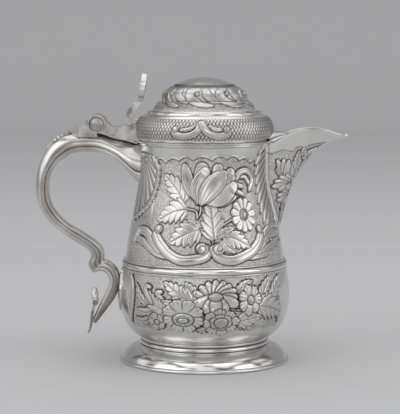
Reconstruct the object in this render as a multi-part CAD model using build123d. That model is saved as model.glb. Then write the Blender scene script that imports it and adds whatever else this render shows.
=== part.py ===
from build123d import *
import os
from math import cos, hypot, radians, sin

# Silver tankard with a hinged domed lid, an S-scroll handle and a beak spout.
# Millimetres. The origin is the centre of the foot on the table, +Z is up, +X points to the
# spout and the handle stands towards -X. The hinge pin runs along Y.

# Body, raised from sheet in two drums that meet under the girdle
wall = 1.0
base_z = 12.0
foot_joint_radius = 44.0
foot_joint_z = 16.4
belly_radius = 60.2
belly_z = 46.0
girdle_radius = 57.2
girdle_z = 66.5
girdle_height = 6.4
waist_radius = 49.6
waist_drop = 47.7
neck_radius = 44.8
neck_drop = 14.2
mouth_radius = 45.6
mouth_z = 155.2

# Applied mouldings
mouth_band_height = 2.4
mouth_band_proud = 1.9
girdle_proud = 1.9
girdle_lip_height = 1.1
foot_radius = 60.3
foot_wire_height = 2.4
foot_wire_width = 3.4
foot_sheet = 1.2
foot_sheet_radius = 58.9
collar_radius = 46.0
collar_height = 4.2

# Spout
spout_wall = 1.1
spout_notch_inset = 1.2
lip_radius = 1.3

# Lid
lid_sheet = 0.9
lid_gap = 0.15
flange_overhang = 4.7
flange_thickness = 0.9
lid_foot_out = 1.2
lid_band_out = 3.9
lid_band_height = 19.2
lid_shoulder_in = 4.6
lid_step_in = 8.7
cavetto_height = 8.2
dome_in = 16.0
dome_height = 10.7
crown_radius = 20.6
crown_rise = 4.9
crown_edge = 1.1
bezel_depth = 4.5
bezel_clearance = 1.1
bezel_taper = 0.6
reed_size = 1.7
hood_sheet = 0.9

# Hinge: five lugs on one pin, three on the handle and two on the lid
pin_radius = 2.0
pin_out = 29.7
pin_up = 12.7
lug_radius = 6.3
lug_width = 4.9
lug_gap = 0.2
lug_clearance = 0.4
pin_running = 0.05
head_radius = 4.1
head_height = 1.6
strap_end_width = 9.0
strap_length = 17.5
strap_depth = 9.4
leaf_width = 19.0
leaf_length = 24.5

# Handle, two stampings soldered along a seam on each side
handle_sheet = 1.1
handle_top_width = 19.0
handle_mid_width = 13.4
handle_end_width = 10.6
handle_sections = 26
scroll_sections = 14
seam_share = 0.3
solder_gap = 0.08
handle_foot_z = 54.0
socket_plate_thickness = 0.9
socket_plate_height = 31.0
socket_plate_width = 23.0
socket_plate_drop = 17.0
patch_height = 31.0
patch_width = 28.0
patch_thickness = 1.2
patch_drop = 4.0
scroll_top_width = 10.4
scroll_tail_width = 6.6
tail_strip_width = 3.4
tail_strip_height = 1.1
bead_size = 1.6
bead_count = 5
vent_radius = 0.7
vent_section = 19
tail_strip_length = 36.0

# Terminal at the foot of the handle, placed from the belly and the handle's foot
terminal_out = 19.8
terminal_drop = 14.6
shield_width = 17.0
shield_thickness = 1.8
shield_height = 21.5
volute_radius = 2.2
volute_bore = 0.8
volute_length = 12.0
lobe_height = 9.4
lobe_thickness = 4.6

# Thumbpiece
stem_width = 11.0
stem_waist = 7.0
stem_base_width = 13.0
scroll_plate_thickness = 3.6
scroll_plate_lean = 9.0
scroll_ring_radius = 6.2
scroll_bar = 2.6
scroll_eye_radius = 1.9
crest_ring_radius = 4.4
scroll_plate_height = 18.2
stay_width = 7.0
stay_thickness = 1.3

girdle_top = girdle_z + girdle_height
waist_z = mouth_z - waist_drop
neck_z = mouth_z - neck_drop
lid_z = mouth_z + lid_gap
flange_radius = mouth_radius + flange_overhang
flange_top = lid_z + flange_thickness
lug_pitch = lug_width + lug_gap
pin_x = -(mouth_radius + pin_out)
pin_z = mouth_z + pin_up
pin_length = 5 * lug_width + 4 * lug_gap
strap_places, leaf_places = (0, 2, 4), (1, 3)

# Handle outline. Each row is a section: how far its outer and its inner edge stand out from the
# mouth or the belly, and how far they lie above the mouth or the handle's foot.
upper_bow = [
    (-3.2, -3.0, -5.0, -30.0),
    (4.7, -0.9, 0.4, -29.4),
    (11.1, 0.8, 4.1, -26.2),
    (19.5, 2.7, 14.7, -14.8),
    (28.6, 5.7, 25.9, -9.2),
    (38.4, 6.1, 34.9, -7.6),
    (52.4, 4.1, 45.7, -8.5),
    (61.8, -1.1, 52.9, -12.7),
    (67.4, -8.7, 57.4, -16.6),
    (71.9, -20.2, 62.3, -24.2),
]
lower_bow = [
    (58.8, 68.0, 49.2, 67.0),
    (57.8, 58.5, 48.5, 60.0),
    (54.3, 51.0, 46.3, 54.5),
    (48.1, 42.3, 41.3, 47.8),
    (39.3, 35.2, 34.3, 42.0),
    (30.9, 29.5, 25.8, 37.0),
    (24.3, 25.5, 17.3, 31.3),
    (21.1, 22.0, 11.6, 25.5),
    (20.4, 18.4, 10.4, 20.4),
    (22.1, 13.0, 10.4, 19.0),
    (19.6, 8.2, 10.6, 17.4),
]
# Lower scroll, in the same way: its outer and inner edges from the belly and the handle's foot
lower_scroll = [
    (10.2, 17.4, 18.4, 7.6),
    (8.2, 16.8, 14.5, 8.9),
    (4.4, 14.2, 11.4, 8.4),
    (1.0, 10.0, 8.7, 5.8),
    (-0.5, 4.0, 7.6, 2.0),
    (0.6, -3.0, 8.4, -2.8),
    (2.8, -9.6, 10.4, -7.2),
    (6.8, -15.4, 12.8, -11.8),
    (11.4, -21.4, 15.8, -18.0),
    (14.4, -25.4, 17.8, -22.6),
    (17.0, -28.6, 19.6, -26.6),
]
# Spout sections: out from the mouth, keel below the mouth, rim above it, half width
spout_rows = [
    (-3.6, 109.0, -0.4, 15.5),
    (2.4, 83.0, -0.1, 15.4),
    (7.4, 62.4, 1.8, 15.0),
    (11.8, 43.9, 4.6, 14.6),
    (19.1, 24.8, 7.6, 14.0),
    (30.3, 9.9, 8.8, 12.6),
    (40.4, 1.4, 7.9, 9.4),
    (49.4, -1.9, 5.0, 4.8),
    (54.8, -2.7, 3.6, 1.7),
]
# Hood over the root of the spout: out from the mouth, half width, edge and ridge above it
hood_rows = [
    (-0.6, 18.6, 1.05, 7.9),
    (4.4, 14.2, 1.05, 7.4),
    (9.0, 8.8, 2.1, 6.7),
    (12.4, 4.3, 3.5, 6.0),
    (14.0, 1.8, 4.3, 5.5),
]
# Side outlines at the hinge, along and up from the pin: the strap's back, the leaf's underside and
# its upper side, the back and the front of the thumbpiece's stem, and the line of its stay
strap_back = [(-11.0, -1.4), (-3.4, 5.3)]
leaf_under = [(2.0, -5.6), (6.0, -7.6), (15.5, -9.6), (18.4, -11.4)]
leaf_over = [(20.0, -0.8), (16.5, -2.6), (10.5, -2.4), (7.4, 0.2), (4.4, 4.2)]
stem_back = [(21.4, -2.0), (18.6, 2.6), (18.8, 8.0), (23.6, 12.2), (27.0, 15.4), (29.3, 17.6)]
stem_front = [(32.4, 17.2), (31.0, 13.0), (27.0, 9.6), (24.6, 7.0), (23.4, 4.6), (24.2, -2.0)]
stay_line = [(23.4, 6.6), (24.0, 3.0), (27.0, 2.4), (29.6, 1.6)]
# Side outlines of the shield, along and up from its head
shield_back = [(1.2, 1.0), (-0.8, -6.0), (-1.6, -12.0), (-0.6, -16.0), (-3.6, -shield_height)]
shield_front = [(-2.4, -shield_height - 0.5), (1.2, -16.0), (0.2, -12.0), (1.0, -6.0),
                (1.2 + shield_thickness, 1.0)]


def turned(edges):
    """Revolves a closed outline, given as edges in radius and height, about the Z axis."""
    return revolve(Plane.XZ * make_face(edges), Axis.Z)


def turned_ring(*points):
    """Revolves a closed polygon of (radius, height) points about the Z axis."""
    return turned(Polyline(*points, close=True).edges())


def body_outline():
    """The outside of the body from the middle of its base to its mouth, as control polygons."""
    top_radius = girdle_radius - 1.2
    waist_lean = 0.23
    pull = (waist_z - girdle_top) / 3
    neck_pull = (neck_z - waist_z) / 3
    return [
        [(0, base_z), (0.5 * foot_joint_radius, base_z), (0.8 * foot_joint_radius, base_z),
         (foot_joint_radius, foot_joint_z)],
        [(foot_joint_radius, foot_joint_z), (foot_joint_radius + 10.0, foot_joint_z + 4.9),
         (belly_radius, belly_z - 14.5), (belly_radius, belly_z)],
        [(belly_radius, belly_z), (belly_radius, belly_z + 9.0),
         (girdle_radius + 1.7, girdle_z - 5.5), (girdle_radius, girdle_z)],
        [(girdle_radius, girdle_z), (top_radius, girdle_top)],
        [(top_radius, girdle_top), (top_radius - 1.4, girdle_top + pull),
         (waist_radius + waist_lean * pull, waist_z - pull), (waist_radius, waist_z)],
        [(waist_radius, waist_z), (waist_radius - waist_lean * neck_pull, waist_z + neck_pull),
         (neck_radius, neck_z - 1.2 * neck_pull), (neck_radius, neck_z)],
        [(neck_radius, neck_z), (neck_radius, neck_z + 0.4 * neck_drop),
         (mouth_radius, mouth_z - 0.3 * neck_drop), (mouth_radius, mouth_z)],
    ]


def curves(outline):
    """Draws an outline's control polygons as straight lines and curves."""
    return [Line(*points) if len(points) == 2 else Bezier(*points) for points in outline]


def left_of(start, end):
    """The unit direction to the left of a leg of a control polygon."""
    run, rise = end[0] - start[0], end[1] - start[1]
    length = hypot(run, rise)
    return -rise / length, run / length


def moved_aside(outline, amount):
    """An outline drawn to the left of another at an even distance, mitred at its corners."""
    legs = [[left_of(a, b) for a, b in zip(points, points[1:])] for points in outline]
    result = []
    for place, points in enumerate(outline):
        before = legs[place - 1][-1] if place else legs[place][0]
        after = legs[place + 1][0] if place + 1 < len(outline) else legs[place][-1]
        sides = [before, *legs[place], after]
        row = []
        for (x, y), (ax, ay), (bx, by) in zip(points, sides, sides[1:]):
            reach = amount / (1 + ax * bx + ay * by)
            row.append((x + reach * (ax + bx), y + reach * (ay + by)))
        result.append(row)
    return result


def sheet(outline, thickness):
    """Turns an outline into sheet metal, with its thickness to the left, about the Z axis."""
    inside = moved_aside(outline, thickness)
    foot, head = outline[0][0], outline[-1][-1]
    inner_foot, inner_head = inside[0][0], inside[-1][-1]
    return turned([*curves(outline), Line(head, inner_head), *curves(inside), Line(inner_foot, foot)])


def filled(outline):
    """Everything between an outline and the Z axis, revolved."""
    foot, head = outline[0][0], outline[-1][-1]
    edges = curves(outline)
    if head[0] > 0:
        edges.append(Line(head, (0, head[1])))
    if foot[0] > 0:
        edges.append(Line((0, foot[1]), foot))
    return turned([*edges, Line((0, head[1]), (0, foot[1]))])


def largest(shape):
    """The one solid that counts, without the slivers that a cut can leave beside it."""
    return max(shape.solids(), key=lambda solid: solid.volume)


def body_parts():
    """The belly and the neck, with the pouring notch cut behind the spout."""
    shell = sheet(body_outline(), wall)
    seam_z = girdle_z + girdle_height / 2
    half = belly_radius + foot_radius
    below = (Align.CENTER, Align.CENTER, Align.MAX)
    low = Pos(0, 0, seam_z) * Box(2 * half, 2 * half, 2 * half, align=below)
    belly = shell & low
    neck = shell - low
    return belly, neck - spout_loft(spout_wall + spout_notch_inset, True)


def girdle_band():
    """The girdle: a round rib between a thin upper and a thin lower lip, on the body's joint."""
    radius = girdle_radius
    top = girdle_top
    foot = girdle_z - 0.6
    lip = girdle_lip_height
    proud = girdle_proud
    edges = [
        Line((radius - 6, foot), (radius + 0.9, foot)),
        Line((radius + 0.9, foot), (radius + 1.0, foot + lip)),
        Line((radius + 1.0, foot + lip), (radius + 0.6, foot + lip + 0.3)),
        Bezier((radius + 0.6, foot + lip + 0.3), (radius + proud, foot + 2.3),
               (radius + proud - 0.2, top - lip - 1.4), (radius + 0.1, top - lip - 0.5)),
        Line((radius + 0.1, top - lip - 0.5), (radius - 0.2, top - lip)),
        Line((radius - 0.2, top - lip), (radius + 0.4, top - 0.5 * lip)),
        Line((radius + 0.4, top - 0.5 * lip), (radius - 0.7, top + 0.2)),
        Line((radius - 0.7, top + 0.2), (radius - 6, top + 0.2)),
        Line((radius - 6, top + 0.2), (radius - 6, foot)),
    ]
    return turned(edges) - filled(body_outline())


def mouth_band():
    """The plain round-edged wire round the mouth, stopped where the spout comes through."""
    low = mouth_z - mouth_band_height
    outer = mouth_radius + mouth_band_proud
    ring = turned_ring((mouth_radius - 3, low), (outer - 0.9, low), (outer, low + 0.7),
                       (outer, mouth_z - 0.6), (outer - 0.5, mouth_z), (mouth_radius - 3, mouth_z))
    return ring - filled(body_outline()) - spout_loft(0, True)


def foot_parts():
    """The spreading foot: collar under the belly, ogee skirt, and the wire it stands on."""
    body = filled(body_outline())
    collar_low = foot_joint_z - collar_height
    collar_top = foot_joint_z + 0.8
    collar = turned_ring((collar_radius - 4.4, collar_low), (collar_radius - 0.6, collar_low),
                         (collar_radius, collar_low + 1.0), (collar_radius - 0.5, collar_low + 2.4),
                         (collar_radius - 1.2, collar_low + 3.0), (collar_radius - 0.9, collar_top),
                         (collar_radius - 4.4, collar_top)) - body
    high = (collar_radius - 0.7, collar_low)
    ledge = (foot_sheet_radius, foot_wire_height)
    rise = collar_low - foot_wire_height
    ogee = [ledge, (ledge[0] - 2.2, ledge[1] + 0.55 * rise), (high[0] + 5.6, high[1] - 1.6), high]
    skirt = sheet([ogee], foot_sheet)
    keep = turned_ring((0, foot_wire_height), (foot_radius, foot_wire_height),
                       (foot_radius, collar_low), (0, collar_low))
    inner = foot_radius - foot_wire_width
    wire = turned_ring((inner, 0), (foot_radius - 0.5, 0), (foot_radius, 0.6),
                       (foot_radius, foot_wire_height - 0.9), (foot_radius - 0.7, foot_wire_height),
                       (inner, foot_wire_height))
    return collar, skirt & keep, wire


def spout_section(row, inset, open_top):
    """One upright section of the spout: a sharp keel, full flanks and a flat top."""
    out, keel, rim, half = row
    low = mouth_z - keel + 1.7 * inset
    high = mouth_z + rim
    if open_top:
        high += 6.0
    side = half - inset
    tall = high - low
    flank = Bezier((0, low), (0.42 * side, low + 0.10 * tall), (side, low + 0.45 * tall), (side, high))
    outline = [flank, Line((side, high), (-side, high)), flank.mirror(Plane.YZ)]
    plane = Plane(origin=(mouth_radius + out, 0, 0), x_dir=(0, 1, 0), z_dir=(1, 0, 0))
    return plane * make_face(outline)


def spout_loft(inset, open_top):
    """The spout filled solid, drawn in by an inset all round, with its top raised if open."""
    rows = spout_rows
    if inset:
        rows = [row for row in spout_rows if row[3] > inset + 1.5]
    return loft([spout_section(row, inset, open_top) for row in rows])


def spout_parts():
    """The beak spout, raised from sheet, and the drop turned over at its tip."""
    spout = spout_loft(0, False) - spout_loft(spout_wall, True) - filled(body_outline())
    out, keel, rim, half = spout_rows[-1]
    drop = Pos(mouth_radius + out - 0.4, 0, mouth_z + rim + 0.1) * Sphere(lip_radius)
    return spout, largest(drop - spout)


def lid_outline():
    """The outside of the lid from its seat on the flange to the edge of the crown."""
    foot = (mouth_radius + lid_foot_out, flange_top)
    band = mouth_radius + lid_band_out
    shoulder = (mouth_radius - lid_shoulder_in, flange_top + lid_band_height - 0.8)
    step = (mouth_radius - lid_step_in, flange_top + lid_band_height)
    neck = (mouth_radius - dome_in, step[1] + cavetto_height)
    top = (crown_radius, neck[1] + dome_height)
    return [
        [foot, (band + 0.6, foot[1] + 5.2), (band + 0.2, foot[1] + 15.4), shoulder],
        [shoulder, step],
        [step, (step[0] - 1.4, step[1] + 5.0), (neck[0] + 2.2, neck[1] - 1.2), neck],
        [neck, (neck[0] + 0.4, neck[1] + 6.0), (top[0] + 5.6, top[1] - 1.6), top],
        [top, (0.55 * top[0], top[1] + 0.6 * crown_rise), (0.3 * top[0], top[1] + crown_rise),
         (0, top[1] + crown_rise)],
    ]


def lid_parts():
    """The raised lid, its plain crown, the reeds on its step, its flange and its bezel."""
    outline = lid_outline()
    keep = turned_ring((0, flange_top), (2 * belly_radius, flange_top),
                       (2 * belly_radius, flange_top + 99), (0, flange_top + 99))
    shell = sheet(outline, lid_sheet) & keep
    under = filled(outline)
    top_z = outline[-1][0][1]
    peak_z = top_z + crown_rise + crown_edge
    rim = crown_radius + 0.8
    crown = turned([
        Line((0, top_z - 1), (rim, top_z - 1)),
        Line((rim, top_z - 1), (rim, top_z + 0.5)),
        Bezier((rim, top_z + 0.5), (0.6 * crown_radius, peak_z - 0.38 * crown_rise),
               (0.3 * crown_radius, peak_z), (0, peak_z)),
        Line((0, peak_z), (0, top_z - 1)),
    ]) - under
    (shoulder_x, shoulder_y), (step_x, step_y) = outline[1]
    size = reed_size
    middle = (shoulder_x + step_x) / 2
    reeds = turned_ring((step_x - 0.4, step_y - 2), (step_x - 0.4, step_y + 0.4 * size),
                        (step_x + 0.2, step_y + size), (middle - 0.5, step_y + size),
                        (middle, step_y + 0.35 * size), (middle + 0.4, step_y + 0.7 * size),
                        (shoulder_x - 0.6, step_y + 0.5 * size), (shoulder_x, step_y - 2)) - under
    bezel_radius = mouth_radius - wall - bezel_clearance
    low = lid_z - bezel_depth
    bezel = turned_ring((bezel_radius, lid_z), (bezel_radius - bezel_taper, low),
                        (bezel_radius - bezel_taper - wall, low), (bezel_radius - wall, lid_z))
    flange = turned_ring((bezel_radius - wall, lid_z), (flange_radius, lid_z),
                         (flange_radius, lid_z + 0.55), (flange_radius - 0.5, flange_top),
                         (bezel_radius - wall, flange_top))
    return shell, crown, reeds, flange, bezel, under


def hood_section(row):
    """One upright section of the hood: an arch of sheet standing on its two edges."""
    out, half, edge, ridge = row
    low = mouth_z + edge
    high = mouth_z + ridge
    outer = ThreePointArc((-half, low), (0, high), (half, low))
    thin = min(hood_sheet, 0.5 * half)
    inner = ThreePointArc((half - thin, low), (0, high - hood_sheet), (thin - half, low))
    outline = [outer, Line((half, low), (half - thin, low)), inner,
               Line((thin - half, low), (-half, low))]
    plane = Plane(origin=(mouth_radius + out, 0, 0), x_dir=(0, 1, 0), z_dir=(1, 0, 0))
    return plane * make_face(outline)


def spout_hood(under, flange):
    """The pointed hood that carries the lid out over the root of the spout."""
    return loft([hood_section(row) for row in hood_rows]) - under - flange


def even_rows(rows, count):
    """Draws a smooth line through the outer points of some sections and another through the
    inner ones, and places sections evenly along the two."""
    outer = Spline(*[row[:2] for row in rows])
    inner = Spline(*[row[2:] for row in rows])
    places = [place / (count - 1) for place in range(count)]
    pairs = [(outer @ place, inner @ place) for place in places]
    return [(far.X, far.Y, near.X, near.Y) for far, near in pairs]


def handle_rows():
    """The handle's sections in the object's own frame: outer point, inner point and width."""
    rows = []
    for out, up, back, down in upper_bow:
        rows.append((-(mouth_radius + out), mouth_z + up, -(mouth_radius + back), mouth_z + down))
    for out, up, back, down in lower_bow:
        rows.append((-(belly_radius + out), handle_foot_z + up,
                     -(belly_radius + back), handle_foot_z + down))
    even = even_rows(rows, handle_sections)
    result = []
    for place, row in enumerate(even):
        share = place / (handle_sections - 1)
        if share < 0.5:
            width = handle_top_width + (handle_mid_width - handle_top_width) * 2 * share
        else:
            width = handle_mid_width + (handle_end_width - handle_mid_width) * (2 * share - 1)
        result.append((*row, width))
    return result


def section_plane(row):
    """The plane of one handle section: x runs from the inner edge to the outer, y across."""
    outer_x, outer_z, inner_x, inner_z, width = row
    depth = hypot(outer_x - inner_x, outer_z - inner_z)
    along = Vector((outer_x - inner_x) / depth, 0, (outer_z - inner_z) / depth)
    return Plane(origin=(inner_x, 0, inner_z), x_dir=along, z_dir=along.cross(Vector(0, 1, 0))), depth


def back_arc(depth, seam, half):
    """Half of the rounded back of the handle, from the seam to the crest."""
    tall = depth - seam
    return Bezier((seam, half), (seam + 0.62 * tall, half), (depth, 0.66 * half), (depth, 0))


def inner_arc(seam, half, face):
    """Half of the inner strip of the handle, from the seam to its flat face."""
    tall = seam - face
    return Bezier((seam, half), (seam - 0.8 * tall, half), (face, 0.92 * half), (face, 0))


def handle_section(row, kind):
    """One section of the handle: the back, the inner strip, or the two filled solid."""
    plane, depth = section_plane(row)
    half = row[4] / 2
    seam = seam_share * depth
    thin = handle_sheet
    top = back_arc(depth, seam, half)
    if kind == "strip":
        seam -= solder_gap
    low = inner_arc(seam, half, 0)
    if kind == "back":
        inside = back_arc(depth - thin, seam, half - thin)
        half_outline = [top, inside, Line((seam, half - thin), (seam, half))]
    elif kind == "strip":
        inside = inner_arc(seam, half - thin, thin)
        half_outline = [low, inside, Line((seam, half - thin), (seam, half))]
    else:
        half_outline = [top, low]
    outline = [*half_outline, *[edge.mirror(Plane.XZ) for edge in half_outline]]
    return plane * make_face(outline)


def handle_solid():
    """The handle filled solid, which everything that seats on it is cut with."""
    return loft([handle_section(row, "solid") for row in handle_rows()])


def patch(height, width, middle_z, thickness):
    """An oval plate that lies on the body on the handle's side, in the body's own curve."""
    oval = extrude(Ellipse(height / 2, width / 2), amount=2 * belly_radius)
    oval = Pos(0, 0, middle_z) * Rot(0, -90, 0) * oval
    skin = sheet(body_outline(), -thickness)
    return skin & oval


def handle_parts(stops):
    """The hollow handle's rounded back, its inner strip with the vent that let hot air out as it
    was soldered, and the plate across its foot."""
    rows = handle_rows()
    back = loft([handle_section(row, "back") for row in rows])
    strip = loft([handle_section(row, "strip") for row in rows])
    for stop in stops:
        back -= stop
        strip -= stop
    back, strip = largest(back), largest(strip)
    spot, depth = section_plane(rows[vent_section])
    drill = Plane(origin=spot.origin, x_dir=(0, 1, 0), z_dir=spot.x_dir)
    strip -= drill * Cylinder(vent_radius, 3 * handle_sheet)
    cap = extrude(handle_section(rows[-1], "solid"), amount=handle_sheet)
    return back, strip, cap


def lower_scroll_parts(stops):
    """The solid scroll from the handle's foot past the belly to the shield."""
    rows = [(-(belly_radius + out), handle_foot_z + up, -(belly_radius + back), handle_foot_z + down)
            for out, up, back, down in lower_scroll]
    sections = []
    for place, row in enumerate(even_rows(rows, scroll_sections)):
        share = place / (scroll_sections - 1)
        width = scroll_top_width + (scroll_tail_width - scroll_top_width) * share
        plane, depth = section_plane((*row, width))
        seam = 0.4 * depth
        half_outline = [back_arc(depth, seam, width / 2), inner_arc(seam, width / 2, 0)]
        mirrored = [edge.mirror(Plane.XZ) for edge in half_outline]
        sections.append(plane * make_face([*half_outline, *mirrored]))
    scroll = loft(sections)
    for stop in stops:
        scroll -= stop
    return largest(scroll)


def from_point(origin, offsets):
    """A table of offsets as points, measured from an origin."""
    return [(origin[0] + along, origin[1] + up) for along, up in offsets]


def terminal_parts():
    """The shield at the foot of the handle and the rolled scroll across its head."""
    x = -(belly_radius + terminal_out)
    high = handle_foot_z - terminal_drop
    half = shield_width / 2
    side = Bezier((0, high), (0.9 * half, high + 2.4), (1.1 * half, high - 0.34 * shield_height),
                  (0.30 * half, high - 0.62 * shield_height), (0, high - shield_height))
    upright = Plane(origin=(x, 0, 0), x_dir=(0, 1, 0), z_dir=(1, 0, 0))
    face = upright * make_face([side, side.mirror(Plane.YZ)])
    back = from_point((x, high), shield_back)
    front = from_point((x, high), shield_front)
    outline = [Bezier(*back), Line(back[-1], front[0]), Bezier(*front), Line(front[-1], back[0])]
    slab = extrude(Plane.XZ * make_face(outline), amount=half + 2, both=True)
    shield = slab & extrude(face, amount=8, both=True)
    centre = Pos(x + 2.8, 0, high + 1.9)
    roll = centre * Rot(90, 0, 0) * Cylinder(volute_radius, volute_length)
    lobe_half = volute_length / 2 - 0.6
    lobe = loft([
        Pos(-0.2, 0, 0) * RectangleRounded(lobe_thickness * 0.8, 2 * lobe_half, 1.4),
        Pos(-0.7, 0, 0.55 * lobe_height) * RectangleRounded(lobe_thickness, 1.9 * lobe_half, 1.9),
        Pos(-0.6, 0, lobe_height) * RectangleRounded(lobe_thickness * 0.5, lobe_half, 1.0),
    ])
    roll += centre * lobe
    roll -= centre * Rot(90, 0, 0) * Cylinder(volute_bore, 2 * volute_length)
    return shield, roll - shield


def lug(places, extra=0.0, widen=0.0):
    """The round eyes of the hinge at some of its five places, filled solid."""
    eyes = []
    for place in places:
        y = (place - 2) * lug_pitch
        eye = Cylinder(lug_radius + extra, lug_width + widen)
        eyes.append(Pos(pin_x, y, pin_z) * Rot(90, 0, 0) * eye)
    return eyes


def across(points, width, middle=0.0):
    """A plate with a side outline of (x, z) points, of some width across the handle."""
    face = Plane.XZ * make_face(Polyline(*points, close=True).edges())
    return Pos(0, middle, 0) * extrude(face, amount=width / 2, both=True)


def strap_solid():
    """The hinge strap filled solid: a web that narrows down the handle, and three eyes."""
    low = pin_z - strap_depth
    end = pin_x - strap_length
    web = [(pin_x, pin_z - lug_radius), (pin_x, low), (end, low), (end, pin_z - 3.6),
           *from_point((pin_x, pin_z), strap_back)]
    half, end_half = pin_length / 2, strap_end_width / 2
    plan = Polyline((pin_x + 1, -half), (pin_x - 6, -half), (end, -end_half), (end, end_half),
                    (pin_x - 6, half), (pin_x + 1, half), close=True)
    strap = across(web, pin_length) & Pos(0, 0, low) * extrude(make_face(plan.edges()), amount=40)
    for eye in lug(strap_places):
        strap += eye
    under_eye = pin_z - lug_radius - 0.1
    below = [(end - 1, low - 1), (pin_x + 9, low - 1), (pin_x + 9, under_eye),
             (pin_x - 8.5, under_eye), (end - 1, pin_z - 8.6)]
    for place in (0, 4):
        strap -= across(below, lug_width, (place - 2) * lug_pitch)
    return strap


def leaf_solid():
    """The hinge leaf filled solid: a tongue that runs up on to the lid, and two eyes."""
    right = pin_x + leaf_length
    side = [*from_point((pin_x, pin_z), leaf_under), (right + 1.5, flange_top), (right + 5, flange_top),
            (right + 5, pin_z - 0.6), *from_point((pin_x, pin_z), leaf_over)]
    leaf = across(side, leaf_width)
    for eye in lug(leaf_places):
        leaf += eye
    return leaf


def pin_head(side):
    """The low dome of a riveted pin end, on one side of the hinge."""
    ball = (head_radius ** 2 + head_height ** 2) / (2 * head_height)
    sink = ball - head_height
    above = (Align.CENTER, Align.CENTER, Align.MIN)
    cap = Sphere(ball) & Pos(0, 0, sink) * Cylinder(head_radius, 2 * head_height, align=above)
    return Pos(pin_x, side * pin_length / 2, pin_z) * Rot(-90 * side, 0, 0) * Pos(0, 0, -sink) * cap


def hinge_parts(solid, back):
    """The strap with three eyes, the leaf with two, the pin and its two riveted heads."""
    through = Pos(pin_x, 0, pin_z) * Rot(90, 0, 0)
    strap = strap_solid()
    for eye in lug(leaf_places, lug_clearance, 2 * lug_gap):
        strap -= eye
    strap = strap - through * Cylinder(pin_radius, 2 * pin_length) - solid - back
    leaf = leaf_solid()
    for eye in lug(strap_places, lug_clearance, 2 * lug_gap):
        leaf -= eye
    leaf -= through * Cylinder(pin_radius + pin_running, 2 * pin_length)
    pin = through * Cylinder(pin_radius, pin_length)
    return strap, leaf, pin, Compound([pin_head(side) for side in (-1, 1)])


def crest_curve():
    """The line along the top of the handle, from the body to its lower end."""
    return Spline(*[(row[0], row[1]) for row in handle_rows()])


def tail_strip(stops):
    """The beaded strip that runs on from the hinge strap along the crest of the handle: two
    sections to a bead, one at its widest and one at the neck after it, then a plain taper."""
    crest = crest_curve()
    start, stop = tail_span(crest)
    steps = 2 * bead_count + 6
    sections = []
    for place in range(steps + 1):
        share = place / steps
        width = tail_strip_width * (1 - 0.6 * share)
        height = tail_strip_height * (1 - 0.4 * share)
        if 1 <= place <= 2 * bead_count and place % 2 == 0:
            width += bead_size
            height += 0.6 * bead_size
        sections.append(crest_section(crest, start + (stop - start) * share, width, height))
    strip = loft(sections)
    for stop_part in stops:
        strip -= stop_part
    return largest(strip)


def tail_span(crest):
    """Where the beaded strip starts and ends along the crest, as shares of its length."""
    start, stop = 0.0, 0.0
    for place in range(1, 200):
        x = (crest @ (place / 200)).X
        if x > pin_x - strap_length:
            start = place / 200
        if x > pin_x - tail_strip_length:
            stop = place / 200
        else:
            break
    return start, stop


def crest_section(crest, spot, width, height):
    """A low rounded section lying on the handle's crest, sunk a little to meet it."""
    point, tangent = crest @ spot, crest % spot
    out = Vector(tangent.Y, 0, -tangent.X)
    if out.Z < 0 and abs(tangent.X) > abs(tangent.Y):
        out = out * -1
    plane = Plane(origin=(point.X, 0, point.Y), x_dir=out, z_dir=out.cross(Vector(0, 1, 0)))
    half, sunk = width / 2, 1.2
    edge = 0.25 * height
    top = ThreePointArc((edge, half), (height, 0), (edge, -half))
    box = Polyline((edge, -half), (-sunk, -half), (-sunk, half), (edge, half))
    return plane * make_face([top, *box.edges()])


def scroll_plate():
    """The thumbpiece's pierced plate drawn flat: two rings with eyes, a ring above, and bars."""
    ring, bar, crest = scroll_ring_radius, scroll_bar, crest_ring_radius
    plate = Pos(0, scroll_plate_height - crest) * (Circle(crest) - Circle(crest - bar))
    for side in (-1, 1):
        plate += Pos(side * (ring + 0.6), 6.4) * (Circle(ring) - Circle(ring - bar))
        plate += Pos(side * (ring + 0.4), 6.0) * Circle(scroll_eye_radius)
        plate += Pos(side * (ring + 0.5), 3.2) * Rectangle(bar * 0.8, 5.6)
        plate += Pos(side * (ring - 0.3), 13.4) * Rot(0, 0, side * 38) * Rectangle(bar, 5.6)
    plate += Pos(0, 1.0) * Rectangle(stem_width - 1.0, bar)
    return plate + Pos(0, 7.0) * Rectangle(bar, 14.0)


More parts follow.
